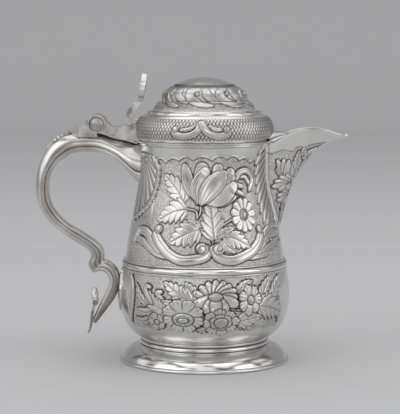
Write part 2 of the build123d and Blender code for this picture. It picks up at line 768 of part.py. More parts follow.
def thumb_parts(under, leaf):
    """The thumbpiece: an S-shaped stem, a pierced plate of scrolls on it, and its stay."""
    pin = (pin_x, pin_z)
    back, front = from_point(pin, stem_back), from_point(pin, stem_front)
    outline = [Bezier(*back), Line(back[-1], front[0]), Bezier(*front), Line(front[-1], back[0])]
    wide = extrude(Plane.XZ * make_face(outline), amount=stem_base_width / 2, both=True)
    half = [(stem_base_width / 2, -4.0), (stem_waist / 2, 10.0), (stem_waist / 2, 15.0),
            (stem_width / 2, 19.0)]
    right = [(y, pin_z + up) for y, up in half]
    left = [(-y, z) for y, z in reversed(right)]
    upright = Plane(origin=(pin_x, 0, 0), x_dir=(0, 1, 0), z_dir=(1, 0, 0))
    taper = extrude(upright * make_face(Polyline(*right, *left, close=True).edges()), amount=80)
    stem = (wide & taper) - leaf - under
    lean = radians(scroll_plate_lean)
    head = (pin_x + 30.8, 0, pin_z + 17.3)
    seat = Plane(origin=head, x_dir=(0, 1, 0), z_dir=(cos(lean), 0, -sin(lean)))
    scrolls = extrude(seat * scroll_plate(), amount=scroll_plate_thickness / 2, both=True) - stem
    arm = [from_point(pin, stay_line)]
    edge = moved_aside(arm, stay_thickness)
    strip = [*curves(arm), *curves(edge), Line(arm[0][0], edge[0][0]), Line(arm[0][-1], edge[0][-1])]
    stay = extrude(Plane.XZ * make_face(strip), amount=stay_width / 2, both=True)
    return stem, scrolls, stay - stem - under - leaf


def main():
    os.makedirs("parts", exist_ok=True)
    belly, neck = body_parts()
    collar, skirt, wire = foot_parts()
    spout, lip = spout_parts()
    shell, crown, reeds, flange, bezel, under = lid_parts()
    body = filled(body_outline())
    band = mouth_band()
    girdle = girdle_band()
    socket = patch(socket_plate_height, socket_plate_width, mouth_z - socket_plate_drop,
                   socket_plate_thickness) - band
    belly_patch = patch(patch_height, patch_width, handle_foot_z - patch_drop, patch_thickness) - girdle
    solid = handle_solid()
    back, strip, cap = handle_parts([body, band, socket])
    scroll = lower_scroll_parts([body, belly_patch, girdle, cap, solid])
    shield, roll = terminal_parts()
    scroll = scroll - shield - roll
    eyes, leaf, pin, heads = hinge_parts(solid, back)
    leaf = leaf - under - flange
    stem, scrolls, stay = thumb_parts(under, leaf)
    parts = {
        "body_belly": belly,
        "body_neck": neck,
        "girdle_band": girdle,
        "mouth_band": band,
        "foot_collar": collar,
        "foot_skirt": skirt,
        "foot_wire": wire,
        "spout_shell": spout,
        "spout_lip": lip,
        "handle_back": back,
        "handle_inner_strip": strip,
        "handle_end_cap": cap,
        "handle_socket_plate": socket,
        "handle_lower_scroll": scroll,
        "belly_patch": belly_patch,
        "terminal_shield": shield,
        "terminal_roll": roll,
        "hinge_strap": eyes,
        "hinge_tail": tail_strip([solid, eyes]),
        "hinge_pin": pin,
        "hinge_pin_heads": heads,
        "hinge_leaf": leaf,
        "lid_shell": shell,
        "lid_crown": crown,
        "lid_reeds": reeds,
        "lid_flange": flange,
        "lid_bezel": bezel,
        "lid_spout_hood": spout_hood(under, flange),
        "thumb_stem": stem,
        "thumb_scrolls": scrolls,
        "thumb_stay": stay,
    }
    for name, solid in parts.items():
        export_step(solid, f"parts/{name}.step")
        print(name, round(solid.volume, 1), len(solid.solids()))


main()
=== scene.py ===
# %% [markdown]
# # A chased silver tankard, in silver and light
# This notebook dresses a finished construction model of a lidded tankard. The construction holds
# every real size and the hinge; here each piece gets the surface that a silversmith gave it.
# The chased sheet (neck, belly, lid and spout) could be faked with a picture or with bump alone,
# but then its outline and its meshes would stay smooth, so the ornament is real relief: a height
# for every point of a fine grid, worked out from drawn strokes, as a chaser works with punches.

# %% Load the construction
import functools

import bmesh
import bpy
import numpy as np
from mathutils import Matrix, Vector


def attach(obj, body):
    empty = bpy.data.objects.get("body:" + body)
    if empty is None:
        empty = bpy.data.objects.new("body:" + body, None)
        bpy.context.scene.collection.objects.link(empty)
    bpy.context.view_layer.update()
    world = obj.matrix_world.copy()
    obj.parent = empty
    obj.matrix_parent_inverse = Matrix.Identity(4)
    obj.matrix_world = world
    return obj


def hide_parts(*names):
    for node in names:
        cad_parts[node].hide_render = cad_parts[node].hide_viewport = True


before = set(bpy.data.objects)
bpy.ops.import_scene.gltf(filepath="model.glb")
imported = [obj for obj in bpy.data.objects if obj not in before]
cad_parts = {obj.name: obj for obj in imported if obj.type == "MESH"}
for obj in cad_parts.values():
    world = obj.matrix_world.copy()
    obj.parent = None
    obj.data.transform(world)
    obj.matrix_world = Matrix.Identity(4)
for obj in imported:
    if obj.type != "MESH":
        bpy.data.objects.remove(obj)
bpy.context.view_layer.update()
MM = 0.001

# %% [markdown]
# ## Turning arrays into a mesh
# Every new piece below is a grid of points, worked out as one numpy array of rows and columns.
# Blender can build meshes face by face with its editing tools, but handing whole arrays to
# `foreach_set` is much faster and keeps the formula of the shape in plain sight.


# %% Grid helpers
def grid_faces(rows, columns, first=0, wrap=False, loop=False, flip=False):
    """Square faces between neighbouring points of a grid numbered row by row from first. The last
    column meets the first when it wraps, and the last row meets the first when it loops."""
    numbers = first + np.arange(rows * columns).reshape(rows, columns)
    if wrap:
        numbers = np.hstack([numbers, numbers[:, :1]])
    if loop:
        numbers = np.vstack([numbers, numbers[:1]])
    quads = np.stack([numbers[:-1, :-1], numbers[:-1, 1:], numbers[1:, 1:], numbers[1:, :-1]], axis=-1)
    quads = quads.reshape(-1, 4)
    return quads[:, ::-1] if flip else quads


def zipped(fine, coarse):
    """Triangles that close the strip between two rows of point numbers, where each step along the
    finer row goes to the point of the coarser row that lies at the same share of the way."""
    near = np.round(np.linspace(0, len(coarse) - 1, len(fine))).astype(int)
    fans = np.stack([fine[:-1], fine[1:], coarse[near[:-1]]], axis=1)
    turns = np.flatnonzero(near[1:] != near[:-1])
    steps = np.stack([fine[turns + 1], coarse[near[turns + 1]], coarse[near[turns]]], axis=1)
    return np.vstack([fans, steps])


def face_outwards(mesh):
    """Turns every face of a closed mesh outwards."""
    work = bmesh.new()
    work.from_mesh(mesh)
    bmesh.ops.recalc_face_normals(work, faces=work.faces)
    work.to_mesh(mesh)
    work.free()


def put_in_scene(name, data):
    """A new object for a mesh, a lamp or a camera, at the origin of the shared frame."""
    obj = bpy.data.objects.new(name, data)
    bpy.context.scene.collection.objects.link(obj)
    return obj


def add_piece(name, points, faces, walls, body, nodes, material, attributes=None):
    """Makes a mesh object from points in millimetres, smooth faces and flat walls, on a body."""
    mesh = bpy.data.meshes.new(name)
    points = np.reshape(points, (-1, 3)) * MM
    groups = [*faces, *walls]
    sizes = np.concatenate([np.full(len(group), len(group[0])) for group in groups])
    corners = np.concatenate([np.asarray(group).ravel() for group in groups]).astype(np.int32)
    smooth = np.arange(len(sizes)) < sum(len(group) for group in faces)
    starts = np.concatenate([[0], np.cumsum(sizes)[:-1]]).astype(np.int32)
    mesh.vertices.add(len(points))
    mesh.vertices.foreach_set("co", points.astype(np.float32).ravel())
    mesh.loops.add(len(corners))
    mesh.loops.foreach_set("vertex_index", corners)
    mesh.polygons.add(len(sizes))
    mesh.polygons.foreach_set("loop_start", starts)
    mesh.polygons.foreach_set("use_smooth", smooth)
    for key, values in (attributes or {}).items():
        layer = mesh.attributes.new(key, "FLOAT", "POINT")
        layer.data.foreach_set("value", np.asarray(values, dtype=np.float32).ravel())
    mesh.update(calc_edges=True)
    face_outwards(mesh)
    obj = put_in_scene(name, mesh)
    mesh.materials.append(material)
    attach(obj, body)
    if nodes:
        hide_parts(*nodes)
    print(f"{name}: {len(points)} points, {len(sizes)} faces")


def bezier(points, shares):
    """A point for each share of the way along a curve with these control points."""
    level = np.array(points, dtype=float)[:, None, :] + 0 * shares[None, :, None]
    while len(level) > 1:
        level = level[:-1] * (1 - shares)[:, None] + level[1:] * shares[:, None]
    return level[0]


def distances(line):
    """How far along a line each of its points lies."""
    return np.concatenate([[0], np.cumsum(np.hypot(*np.diff(line, axis=0).T))])


def evenly_along(line, pitch, closed=False):
    """Points at an even distance along a line, without its last point when it is closed."""
    run = distances(line)
    count = int(run[-1] / pitch) + (not closed)
    spots = np.linspace(0, run[-1], count, endpoint=not closed)
    return np.stack([np.interp(spots, run, line[:, 0]), np.interp(spots, run, line[:, 1])], axis=1)


def even_profile(outline, pitch):
    """Points at an even distance along a chain of curves, as (radius, height)."""
    pieces = [bezier(points, np.linspace(0, 1, 200)) for points in outline]
    return evenly_along(np.vstack([pieces[0], *[piece[1:] for piece in pieces[1:]]]), pitch)


def profile_normals(profile):
    """The unit direction away from the metal at each point of a profile drawn upwards."""
    slope = np.gradient(profile, axis=0)
    normal = np.stack([slope[:, 1], -slope[:, 0]], axis=1)
    return normal / np.linalg.norm(normal, axis=1, keepdims=True)


def smooth_step(low, high, values):
    """0 below low, 1 above high, and an even S between."""
    share = np.clip((values - low) / (high - low), 0, 1)
    return share * share * (3 - 2 * share)
# %% [markdown]
# ## Arithmetic for materials
# A material in Blender is a graph of nodes. Placing each node by hand hides the sum that it stands
# for, so a number on its way through the graph is wrapped in a small class: `1 - mask` then adds the
# Math node by itself, and the shader reads like the formula.


# %% Material arithmetic
class Wire:
    """A number, colour or direction on its way through a material. Arithmetic adds Math nodes."""

    def __init__(self, finish, socket):
        self.finish = finish
        self.socket = socket

    def maths(self, operation, *terms):
        """The result of one Math node on these terms."""
        return self.finish.node("ShaderNodeMath", {"operation": operation}, dict(enumerate(terms)))

    def __add__(self, other):
        return self.maths("ADD", self, other)

    def __sub__(self, other):
        return self.maths("SUBTRACT", self, other)

    def __rsub__(self, other):
        return self.maths("SUBTRACT", other, self)

    def __mul__(self, other):
        return self.maths("MULTIPLY", self, other)

    __radd__ = __add__
    __rmul__ = __mul__


class Finish:
    """A material, or the world, under construction: every node comes from node()."""

    def __init__(self, owner, shader="Principled BSDF"):
        owner.use_nodes = True
        self.owner = owner
        self.tree = owner.node_tree
        self.shader = self.tree.nodes[shader]

    def fill(self, made, sockets):
        """Links a node's sockets to wires, or sets them to plain values."""
        for key, value in sockets.items():
            if isinstance(value, Wire):
                self.tree.links.new(value.socket, made.inputs[key])
            else:
                made.inputs[key].default_value = value

    def node(self, kind, settings=None, sockets=None, out=0):
        """Adds a node: settings first, a ramp's stops among them, then values or links."""
        made = self.tree.nodes.new(kind)
        for key, value in (settings or {}).items():
            if key == "stops":
                for place, grey in value[2:]:
                    made.color_ramp.elements.new(place)
                for element, (place, grey) in zip(made.color_ramp.elements, sorted(value)):
                    element.position = place
                    element.color = (grey, grey, grey, 1)
            else:
                setattr(made, key, value)
        self.fill(made, sockets or {})
        return Wire(self, made.outputs[out])

    def noise(self, place, scale, detail, rough=0.55):
        """Soft random clouds, about as many to a metre as the scale says."""
        sockets = {"Vector": place, "Scale": scale, "Detail": detail, "Roughness": rough}
        return self.node("ShaderNodeTexNoise", sockets=sockets)

    def steps(self, value, *stops):
        """A ramp of greys through its stops, each one a (value, grey) pair."""
        return self.node("ShaderNodeValToRGB", {"stops": list(stops)}, {"Fac": value})

    def set(self, **sockets):
        """Feeds the shader itself, and hands back the finished material or world."""
        self.fill(self.shader, {key.replace("_", " "): value for key, value in sockets.items()})
        return self.owner


# %% [markdown]
# ## Old silver
# Polished silver has almost no colour of its own: it is a metal that shows the room. What makes it
# look old is thin brown-black tarnish that stays in the chased lines, with painted shade laid into
# the same lines, and the matted ground, where hundreds of small punch marks scatter the light. A
# photograph wrapped round the pot would show one room for ever, so the finish is worked out instead:
# one recipe, and each finish says how much of each it has. The lines and the matting follow numbers
# that the relief writes on its meshes.

# %% The silver recipe
CLEAN_SILVER = (0.82, 0.815, 0.80)
GREY_TARNISH_AND_SHADE = (0.085, 0.075, 0.062)
BROWN_TARNISH_AND_SHADE = (0.13, 0.088, 0.062)
CAST_FILM = (0.12, 0.085, 0.06)
DENTS_PER_METRE, SHADES_PER_METRE, PUNCH_MARKS_PER_METRE = 55, 420, 900.0
LINE_TARNISH_AND_SHADE, PIT_FILM, SHADE_FILM, GROUND_FILM = 0.9, 0.34, 0.2, 0.02
FILM_ROUGHNESS, LINE_ROUGHNESS, MATTING_ROUGHNESS = 0.22, 0.25, 0.26
PIT_DEPTH = 0.3
BUMP_METRES = 0.0006


def silver(name, polish, tarnish=0.25, dents=0.02, chased=False,
           tarnish_and_shade_tone=GREY_TARNISH_AND_SHADE, clouds_per_metre=38, all_over=0.0):
    """Silver that is rougher and darker where the tarnish noise, the dark lines (tarnish with painted
    shade in them) or the matting say so: film_and_shade = clouds * tarnish + all_over, and the
    colour goes from clean silver to the tarnish_and_shade_tone."""
    finish = Finish(bpy.data.materials.new(name))
    place = finish.node("ShaderNodeTexCoord", out=3)
    clouds = finish.steps(finish.noise(place, clouds_per_metre, 5), (0.38, 0.0), (0.72, 1.0))
    film_and_shade = clouds * tarnish + all_over
    roughness = film_and_shade * FILM_ROUGHNESS + polish
    bump = finish.noise(place, DENTS_PER_METRE, 2) * dents
    if chased:
        # The tarnish attribute carries real tarnish and painted shade together: dark chased lines and
        # hollows, and painted shadows under the crown and round the rivet heads.
        lines = finish.node("ShaderNodeAttribute", {"attribute_name": "tarnish"}, out=2)
        matting = finish.node("ShaderNodeAttribute", {"attribute_name": "matting"}, out=2)
        marks = finish.node("ShaderNodeTexVoronoi", {"feature": "F1"},
                            {"Vector": place, "Scale": PUNCH_MARKS_PER_METRE, "Randomness": 1.0})
        pits = finish.steps(marks, (0.15, 1.0), (0.6, 0.0))
        shade = finish.steps(finish.noise(place, SHADES_PER_METRE, 3), (0.35, 0.0), (0.7, 1.0))
        film_and_shade = film_and_shade + lines * LINE_TARNISH_AND_SHADE + matting * (pits * PIT_FILM + shade * SHADE_FILM + GROUND_FILM)
        roughness = roughness + matting * MATTING_ROUGHNESS + lines * LINE_ROUGHNESS
        bump = bump - matting * pits * PIT_DEPTH
    grey = finish.node("ShaderNodeMix", {"data_type": "RGBA", "clamp_factor": True},
                       {0: film_and_shade, 6: (*CLEAN_SILVER, 1), 7: (*tarnish_and_shade_tone, 1)}, out=2)
    normal = finish.node("ShaderNodeBump",
                         sockets={"Height": bump, "Strength": 0.6, "Distance": BUMP_METRES})
    return finish.set(Base_Color=grey, Metallic=1.0, Roughness=roughness, Normal=normal)


chased_silver = silver("chased_silver", polish=0.21, chased=True)
plain_silver = silver("polished_silver", polish=0.13, tarnish=0.18)
handle_silver = silver("handle_silver", polish=0.15, tarnish=0.4, dents=0.06, chased=True,
                       tarnish_and_shade_tone=BROWN_TARNISH_AND_SHADE)
cast_silver = silver("cast_silver", polish=0.23, tarnish=0.65, dents=0.14, tarnish_and_shade_tone=CAST_FILM,
                     clouds_per_metre=110, all_over=0.15)
print("finishes made:", [material.name for material in bpy.data.materials if material.node_tree])

# %% [markdown]
# ## The pieces that keep the construction's mesh
# The hinge, the thumbpiece, the shield and the other castings are as sharp as the real ones already,
# so they keep their meshes and only get a finish. The cast pieces are duller and browner than the
# plain ones, since their hollows are hard to polish.

# %% Finishes on the construction pieces
finish_of = {name: cast_silver for name in (
    "handle_lower_scroll", "terminal_shield", "terminal_roll", "hinge_strap", "hinge_tail",
    "hinge_leaf", "hinge_pin_heads", "thumb_stem", "thumb_scrolls", "thumb_stay")}
finish_of |= {name: handle_silver for name in (
    "handle_back", "handle_inner_strip", "handle_end_cap", "handle_socket_plate", "belly_patch")}
for name, node_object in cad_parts.items():
    node_object.data.materials.clear()
    node_object.data.materials.append(finish_of.get(name, plain_silver))
print("construction pieces with a cast or a handle finish:", len(finish_of))

# %% [markdown]
# ## The chaser's strokes
# A chaser draws the flowers on the sheet, sinks a line round each with a blunt punch, pushes the
# forms up from the inside, and then covers the ground between them with fine punch marks. The class
# below works the same way on a drawing that is rolled round the pot: each stroke finds the points
# near it, raises them, sinks and darkens a line round them, and leaves the rest. Sculpting by hand
# would look as good, but it can't be rerun or moved by one number.


# %% Curves that strokes are made of
def smooth_path(points, per_span=10):
    """A curve through every point, each span bent by its neighbours (Catmull-Rom)."""
    points = np.array(points, dtype=float)
    ends = np.vstack([2 * points[0] - points[1], points, 2 * points[-1] - points[-2]])
    t = np.linspace(0, 1, per_span, endpoint=False)[:, None, None]
    a, b, c, d = ends[:-3], ends[1:-2], ends[2:-1], ends[3:]
    spans = 0.5 * (2 * b + (c - a) * t + (2 * a - 5 * b + 4 * c - d) * t**2
                   + (3 * b - a - 3 * c + d) * t**3)
    return np.vstack([np.swapaxes(spans, 0, 1).reshape(-1, 2), points[-1]])


def along(path, x, y):
    """For each point the share of the path at its nearest spot and its distance, positive left."""
    start = path[:-1]
    step = np.diff(path, axis=0)
    length = np.hypot(step[:, 0], step[:, 1]) + 1e-9
    dx = x[:, None] - start[:, 0]
    dy = y[:, None] - start[:, 1]
    share = np.clip((dx * step[:, 0] + dy * step[:, 1]) / length**2, 0, 1)
    gap = np.hypot(dx - share * step[:, 0], dy - share * step[:, 1])
    best = gap.argmin(axis=1)
    row = np.arange(len(x))
    side = np.sign(step[best, 0] * dy[row, best] - step[best, 1] * dx[row, best])
    run = np.concatenate([[0], np.cumsum(length)])
    return (run[best] + share[row, best] * length[best]) / run[-1], gap[row, best] * side


def bell(values, width, middle=0.0):
    """1 at the middle and an even fall to both sides: e to the power of minus the square."""
    return np.exp(-(((values - middle) / width) ** 2))


def arched(v, full=1.0, fall=1.0):
    """The height of a round form across its width: the root of full less fall times v squared."""
    return np.sqrt(np.clip(full - fall * v**2, 0, 1))


def ridged(phase):
    """Rounded ridges with sharp valleys at the whole numbers: 0 in a valley, 1 on a ridge."""
    return np.abs(np.sin(np.pi * phase))


def valley(phase, sharp):
    """1 in the valleys of ridged(), falling off within a share of the pitch."""
    return bell(phase - np.round(phase), sharp)


# %% Strokes
# In millimetres: how high a form starts, how far the ground is set back, where a form's edge rises
# and where the line round it lies, from its edge inwards
RAISED = 0.25
GROUND_DROP = 0.3
SOFT_EDGE = (-0.25, 0.45)
LINE_PLACE = -0.3


class Relief:
    """The chased drawing on one sheet: at each point a height, a darkness and a matting."""

    def __init__(self, x, y, place, outline=0.32):
        x, y = np.broadcast_arrays(x, y)
        self.x = x.ravel()
        self.y = y.ravel()
        self.place = place
        self.outline = outline
        self.height = np.zeros(self.x.size)
        self.dark = np.zeros(self.x.size)
        self.matting = np.zeros(self.x.size)

    def near(self, path, reach):
        """The numbers of the points inside a box round a path, widened by the reach."""
        low = path.min(axis=0) - reach
        high = path.max(axis=0) + reach
        return np.flatnonzero((self.x > low[0]) & (self.x < high[0])
                              & (self.y > low[1]) & (self.y < high[1]))

    def stroke(self, points, reach):
        """The points near a drawn line, with their share of its length and their distance."""
        path = smooth_path(self.place(points))
        spots = self.near(path, reach)
        return spots, *along(path, self.x[spots], self.y[spots])

    def polar(self, centre, radii, turn=0.0):
        """The points near an oval, with their angle and their distance as a share of its radius."""
        middle = self.place([centre])[0]
        spots = self.near(middle[None, :], max(radii) * 1.25 + 1)
        dx = (self.x[spots] - middle[0]) / radii[0]
        dy = (self.y[spots] - middle[1]) / radii[1]
        return spots, np.arctan2(dy, dx) + turn, np.hypot(dx, dy)

    def lift(self, spots, inside, shape, dark=0.0, edge=None, sink=0.28):
        """Lays a form over what is there: inside is the depth within its edge in millimetres."""
        cover = smooth_step(*SOFT_EDGE, inside)
        # The dark line round each form is tarnish in the sunk line with painted shade added to it.
        line = bell(inside, edge or self.outline, LINE_PLACE)
        self.height[spots] = self.height[spots] * (1 - cover) + shape * cover - sink * line
        own = np.clip(dark + 0 * inside, 0, 1)
        self.dark[spots] = np.maximum(self.dark[spots] * (1 - cover) + own * cover, line)
        self.matting[spots] *= 1 - cover

    def sink_ground(self, ground):
        """Mats the ground and sets it back below the plain sheet."""
        self.matting = np.maximum(self.matting, ground)
        self.height -= GROUND_DROP * ground

    def petal(self, points, half, high=0.9, ribs=3, widest=0.6, blunt=0.25, hollow=0.0):
        """A full petal: widest past the middle, arched across, with creases that fade towards its
        end and a rolled rim there. A blunt petal ends round, and a hollow one is dished and
        darkened in its dish as painted shade."""
        spots, t, off = self.stroke(points, half + 1)
        reach = np.where(t < widest, (widest - t) / (widest + 0.03), (t - widest) / (1 - widest + blunt))
        width = half * np.sqrt(np.clip(1 - reach**2, 0.02, 1))
        v = np.clip(off / width, -1.5, 1.5)
        dish = hollow * bell(v, 0.5) * bell(t, 0.22, widest)
        shape = RAISED + high * (0.45 + 0.35 * arched(v, 1.05) + 0.2 * t) + 0.22 * bell(t, 0.07, 0.93)
        creases = valley(v * ribs / 2 + 0.5, 0.13) * smooth_step(1.0, 0.35, t) * (np.abs(v) < 0.9)
        # The dish is darkened as painted shade; the creases are dark chased lines.
        self.lift(spots, width - np.abs(off), shape - 0.12 * creases - dish,
                  np.maximum(0.5 * creases, dish))

    def leaf(self, points, half, teeth=4, high=0.9, cut=0.3):
        """A broad lobed leaf: lobes that point forwards, puffed between the dark lines that run from
        each notch to the sunk midrib."""
        spots, t, off = self.stroke(points, half + 1.5)
        lean = np.abs(off) / half
        phase = t * teeth - lean * 1.25
        tooth = phase - np.floor(phase)
        lobe = np.sin(np.pi * tooth**1.7)
        width = half * np.sin(np.pi * np.clip(t, 0.0, 1.0) ** 0.6) ** 0.62
        width = width * (1 - cut * (1 - lobe)) + 0.1
        v = np.clip(np.abs(off) / width, 0, 1.4)
        puff = np.sqrt(ridged(phase)) * np.clip(v, 0, 1)
        shape = 0.2 + high * (0.35 + 0.35 * arched(v, 1.1) + 0.3 * puff)
        midrib = bell(off, 0.3) * (t < 0.94)
        veins = valley(phase, 0.08) * (0.35 + 0.5 * np.clip(v, 0, 1))
        veins = veins + valley(phase + 0.4, 0.06) * 0.3 * (v < 0.8)
        self.lift(spots, width - np.abs(off), shape - 0.3 * midrib - 0.15 * veins,
                  np.maximum(0.8 * midrib, veins))

    def band(self, points, half, taper=0.35, high=1.0, line=0.45):
        """A rolled scroll: an arched band with a line along one side, narrower at its far end."""
        spots, t, off = self.stroke(points, half + 1)
        width = half * (1 - taper * t) * np.sqrt(np.clip((1.02 - t) / 0.12, 0.05, 1))
        v = np.clip(off / width, -1.3, 1.3)
        cut = bell(v, 0.12, line)
        self.lift(spots, width - np.abs(off), RAISED + high * arched(v, 1.15) - 0.3 * cut, 0.6 * cut)

    def stem(self, points, half=0.55):
        """A thin round stalk."""
        spots, _, off = self.stroke(points, half + 1)
        self.lift(spots, half - np.abs(off), RAISED + 0.7 * arched(off / half))

    def plume(self, points, half, flutes, taper, high=0.8, slant=0.9, lobes=0.22, gash=0.12):
        """A curled acanthus or rocaille plume: slanting flutes, and a lobe where each one ends."""
        spots, t, off = self.stroke(points, half + 1.5)
        width = half * (1 - taper * t) * np.sqrt(np.clip((1.03 - t) / 0.15, 0.05, 1))
        lean = off / half
        phase = t * flutes + slant * lean
        width = width * (1 - lobes * (1 - ridged(phase)) * (lean > 0))
        v = off / width
        shape = RAISED + high * (0.4 + 0.3 * ridged(phase) + 0.3 * arched(v))
        self.lift(spots, width - np.abs(off), shape, 5 * gash * valley(phase, gash) * (np.abs(v) < 0.86))

    def daisy(self, centre, radii, petals, eye, high, turn):
        """Petals round an eye: each one dished, split by a dark line, and notched at its end."""
        spots, angle, share = self.polar(centre, radii, turn)
        phase = angle * petals / (2 * np.pi)
        edge = 0.84 + 0.16 * ridged(phase) ** 0.6
        shape = 0.3 + high * (0.3 + 0.45 * share) * (0.55 + 0.45 * ridged(phase))
        groove = valley(phase + 0.5, 0.09) * 0.45 * (share < 0.8)
        self.lift(spots, (edge - share) * min(radii), shape - 0.15 * groove,
                  np.maximum(0.9 * valley(phase, 0.09), groove))
        self.eye(centre, (radii[0] * eye, radii[1] * eye), 0.65)

    def bloom(self, centre, radii, petals=8, high=1.0, low=0.3, turn=0.0):
        """A full flower: broad dished petals with a ruffled edge, dark where two of them meet, and
        two short creases that run in from the end of each."""
        spots, angle, share = self.polar(centre, radii, turn)
        phase = angle * petals / (2 * np.pi)
        ruffle = ridged(3 * phase)
        edge = 0.74 + 0.21 * ridged(phase) ** 0.6 + 0.05 * ruffle
        full = 0.6 + 0.4 * np.sqrt(ridged(phase))
        shape = low + high * (0.25 + 0.6 * share**1.5) * full + 0.15 * ruffle * share
        split = valley(phase, 0.075) * smooth_step(0.25, 0.5, share)
        crease = 0.5 * valley(3 * phase, 0.13) * smooth_step(0.55, 0.8, share)
        self.lift(spots, (edge - share) * min(radii), shape - 0.15 * crease,
                  np.maximum(0.9 * split, crease))

    def eye(self, centre, radii, low, high=0.7):
        """A domed, granulated centre in a sunk ring."""
        spots, angle, share = self.polar(centre, radii)
        grains = ridged(angle * 5 / np.pi) * ridged(share * 3)
        shape = low + high * arched(share, fall=0.8) + 0.12 * grains
        self.lift(spots, (1 - share) * min(radii), shape, 0.45 * (1 - grains), edge=0.42, sink=0.4)

    def whorl(self, centre, radius, high=1.1, low=0.3, hand=1):
        """The curled end of a scroll: a button with a spiral line cut into it."""
        spots, angle, share = self.polar(centre, (radius, radius))
        phase = share * 1.6 - hand * angle / (2 * np.pi)
        self.lift(spots, (1 - share) * radius, low + high * arched(share, fall=0.7),
                  0.85 * valley(phase, 0.16) * (share > 0.2))

    def fan(self, outline, pivot, ribs, high, shade):
        """A fluted fan: ribs that spread from a pivot to the edge of its outline. A point is within
        the outline when the outline's corners, seen from it, turn once round."""
        edge = self.place(outline + outline[:1])
        middle = self.place([pivot])[0]
        spots = self.near(edge, 1)
        x, y = self.x[spots], self.y[spots]
        off = along(edge, x, y)[1]
        bearing = np.arctan2(edge[:, 1] - y[:, None], edge[:, 0] - x[:, None])
        turn = (np.diff(bearing, axis=1) + np.pi) % (2 * np.pi) - np.pi
        within = np.abs(turn.sum(axis=1)) > np.pi
        phase = np.arctan2(y - middle[1], x - middle[0]) * ribs / np.pi
        reach = np.clip(np.hypot(x - middle[0], y - middle[1]) / 8, 0, 1)
        shape = 0.2 + high * (0.4 + 0.5 * ridged(phase)) * reach
        self.lift(spots, np.where(within, np.abs(off), -np.abs(off)), shape,
                  shade * valley(phase, 0.14) * reach)

    def lattice(self, area, across, up):
        """Rows of small scales: where two sets of slanting lines cross, each field is raised."""
        self.height += area * (0.35 * ridged(across + up) * ridged(across - up) - 0.1)
        lines = np.maximum(valley(across + up, 0.14), valley(across - up, 0.14))
        self.dark = np.maximum(self.dark, area * lines)

    def punch(self, seed):
        """The unevenness that the matting punch leaves: small random steps on the ground."""
        steps = np.random.default_rng(seed).normal(0, 0.05, self.height.size)
        self.height += np.clip(steps, -0.1, 0.1) * np.clip(self.matting, 0, 1)

    def lace(self, cusps, rise):
        """The scalloped line between plain sheet above it and matted ground below it: a low ridge
        along arcs from cusp to cusp, with a dark line on each side."""
        cusps = self.place(cusps)
        share = np.linspace(0, 1, 9)[:-1]
        arcs = cusps[:-1, None, :] + np.diff(cusps, axis=0)[:, None, :] * share[None, :, None]
        arcs[:, :, 1] += 4 * rise * share * (1 - share)
        path = np.vstack([arcs.reshape(-1, 2), cusps[-1]])
        line = np.interp(self.x, path[:, 0], path[:, 1])
        reach = (self.x > path[0, 0]) & (self.x < path[-1, 0])
        self.sink_ground(smooth_step(0.0, 0.6, line - self.y) * reach)
        spots = self.near(path, 2.5)
        off = along(path, self.x[spots], self.y[spots])[1]
        self.height[spots] += 0.3 * bell(off, 0.45)
        for away, weight in ((-0.85, 0.7), (0.8, 0.3)):
            line = weight * bell(off, 0.3, away)
            self.dark[spots] = np.maximum(self.dark[spots], line)
            self.height[spots] -= 0.15 * line


# %% [markdown]
# ## The shape of the sheet
# The outline of the pot is the same chain of curves that the construction model turns. The chased
# sheet is laid out on a grid: rows run round the pot and columns run up its outline. Front and back
# are two pieces that meet under the handle and the spout, where the real one's seam also hides, and
# the back is the front's mirror image. One mesh for the whole pot would be simpler, but it would
# hold too many points for the fine lines.

# %% Outline of the body
belly_outline = [
    [(44, 16.4), (54, 21.3), (60.2, 31.5), (60.2, 46)],
    [(60.2, 46), (60.2, 55), (58.9, 61), (57.2, 66.5)],
    [(57.2, 66.5), (56.7, 69.7)],
]
neck_outline = [
    [(56.45, 69.7), (56, 72.9)],
    [(56, 72.9), (54.6, 84.4), (52.25, 96.0), (49.6, 107.5)],
    [(49.6, 107.5), (47.0, 118.7), (44.8, 127.6), (44.8, 141)],
    [(44.8, 141), (44.8, 146.7), (45.6, 150.9), (45.6, 155.2)],
]
# The grid's pitch, how many times coarser the inside is and how much of the relief shows there
GRID = 0.42
COARSE = 3
INSIDE_RELIEF = 0.7

# Spout sections: distance from the axis, keel height, rim height, half width
spout_rows = np.array([
    (42.0, 46.2, 154.8, 15.5),
    (48.0, 72.2, 155.1, 15.4),
    (53.0, 92.8, 157.0, 15.0),
    (57.4, 111.3, 159.8, 14.6),
    (64.7, 130.4, 162.8, 14.0),
    (75.9, 145.3, 164.0, 12.6),
    (86.0, 153.8, 163.1, 9.4),
    (95.0, 157.1, 160.2, 4.8),
    (100.4, 157.9, 158.8, 1.7),
])
# How far the notch behind the spout stays inside the spout's walls, and the angle beyond which the
# columns of the grid draw together to make room for it
NOTCH_INSET = 1.5
FOLD_DEGREES = 52
# Inside the sharp keel the walls meet higher than one wall's thickness, and the tip never closes
KEEL_RISE = 1.7
THINNEST = 0.25
FOUR_EDGES = (np.s_[0], np.s_[-1], np.s_[:, 0], np.s_[:, -1])


# %% Sheet grids
def spline(x, table):
    """A smooth curve through the rows of a table, worked out for each column at x."""
    keys = table[:, 0]
    slopes = np.gradient(table[:, 1:], keys, axis=0)
    i = np.clip(np.searchsorted(keys, x) - 1, 0, len(keys) - 2)
    span = (keys[i + 1] - keys[i])[..., None]
    t = ((x - keys[i]) / (keys[i + 1] - keys[i]))[..., None]
    a, b = table[i, 1:], table[i + 1, 1:]
    return ((1 + 2 * t) * (1 - t)**2 * a + t * (1 - t)**2 * span * slopes[i]
            + t**2 * (3 - 2 * t) * b + t**2 * (t - 1) * span * slopes[i + 1])


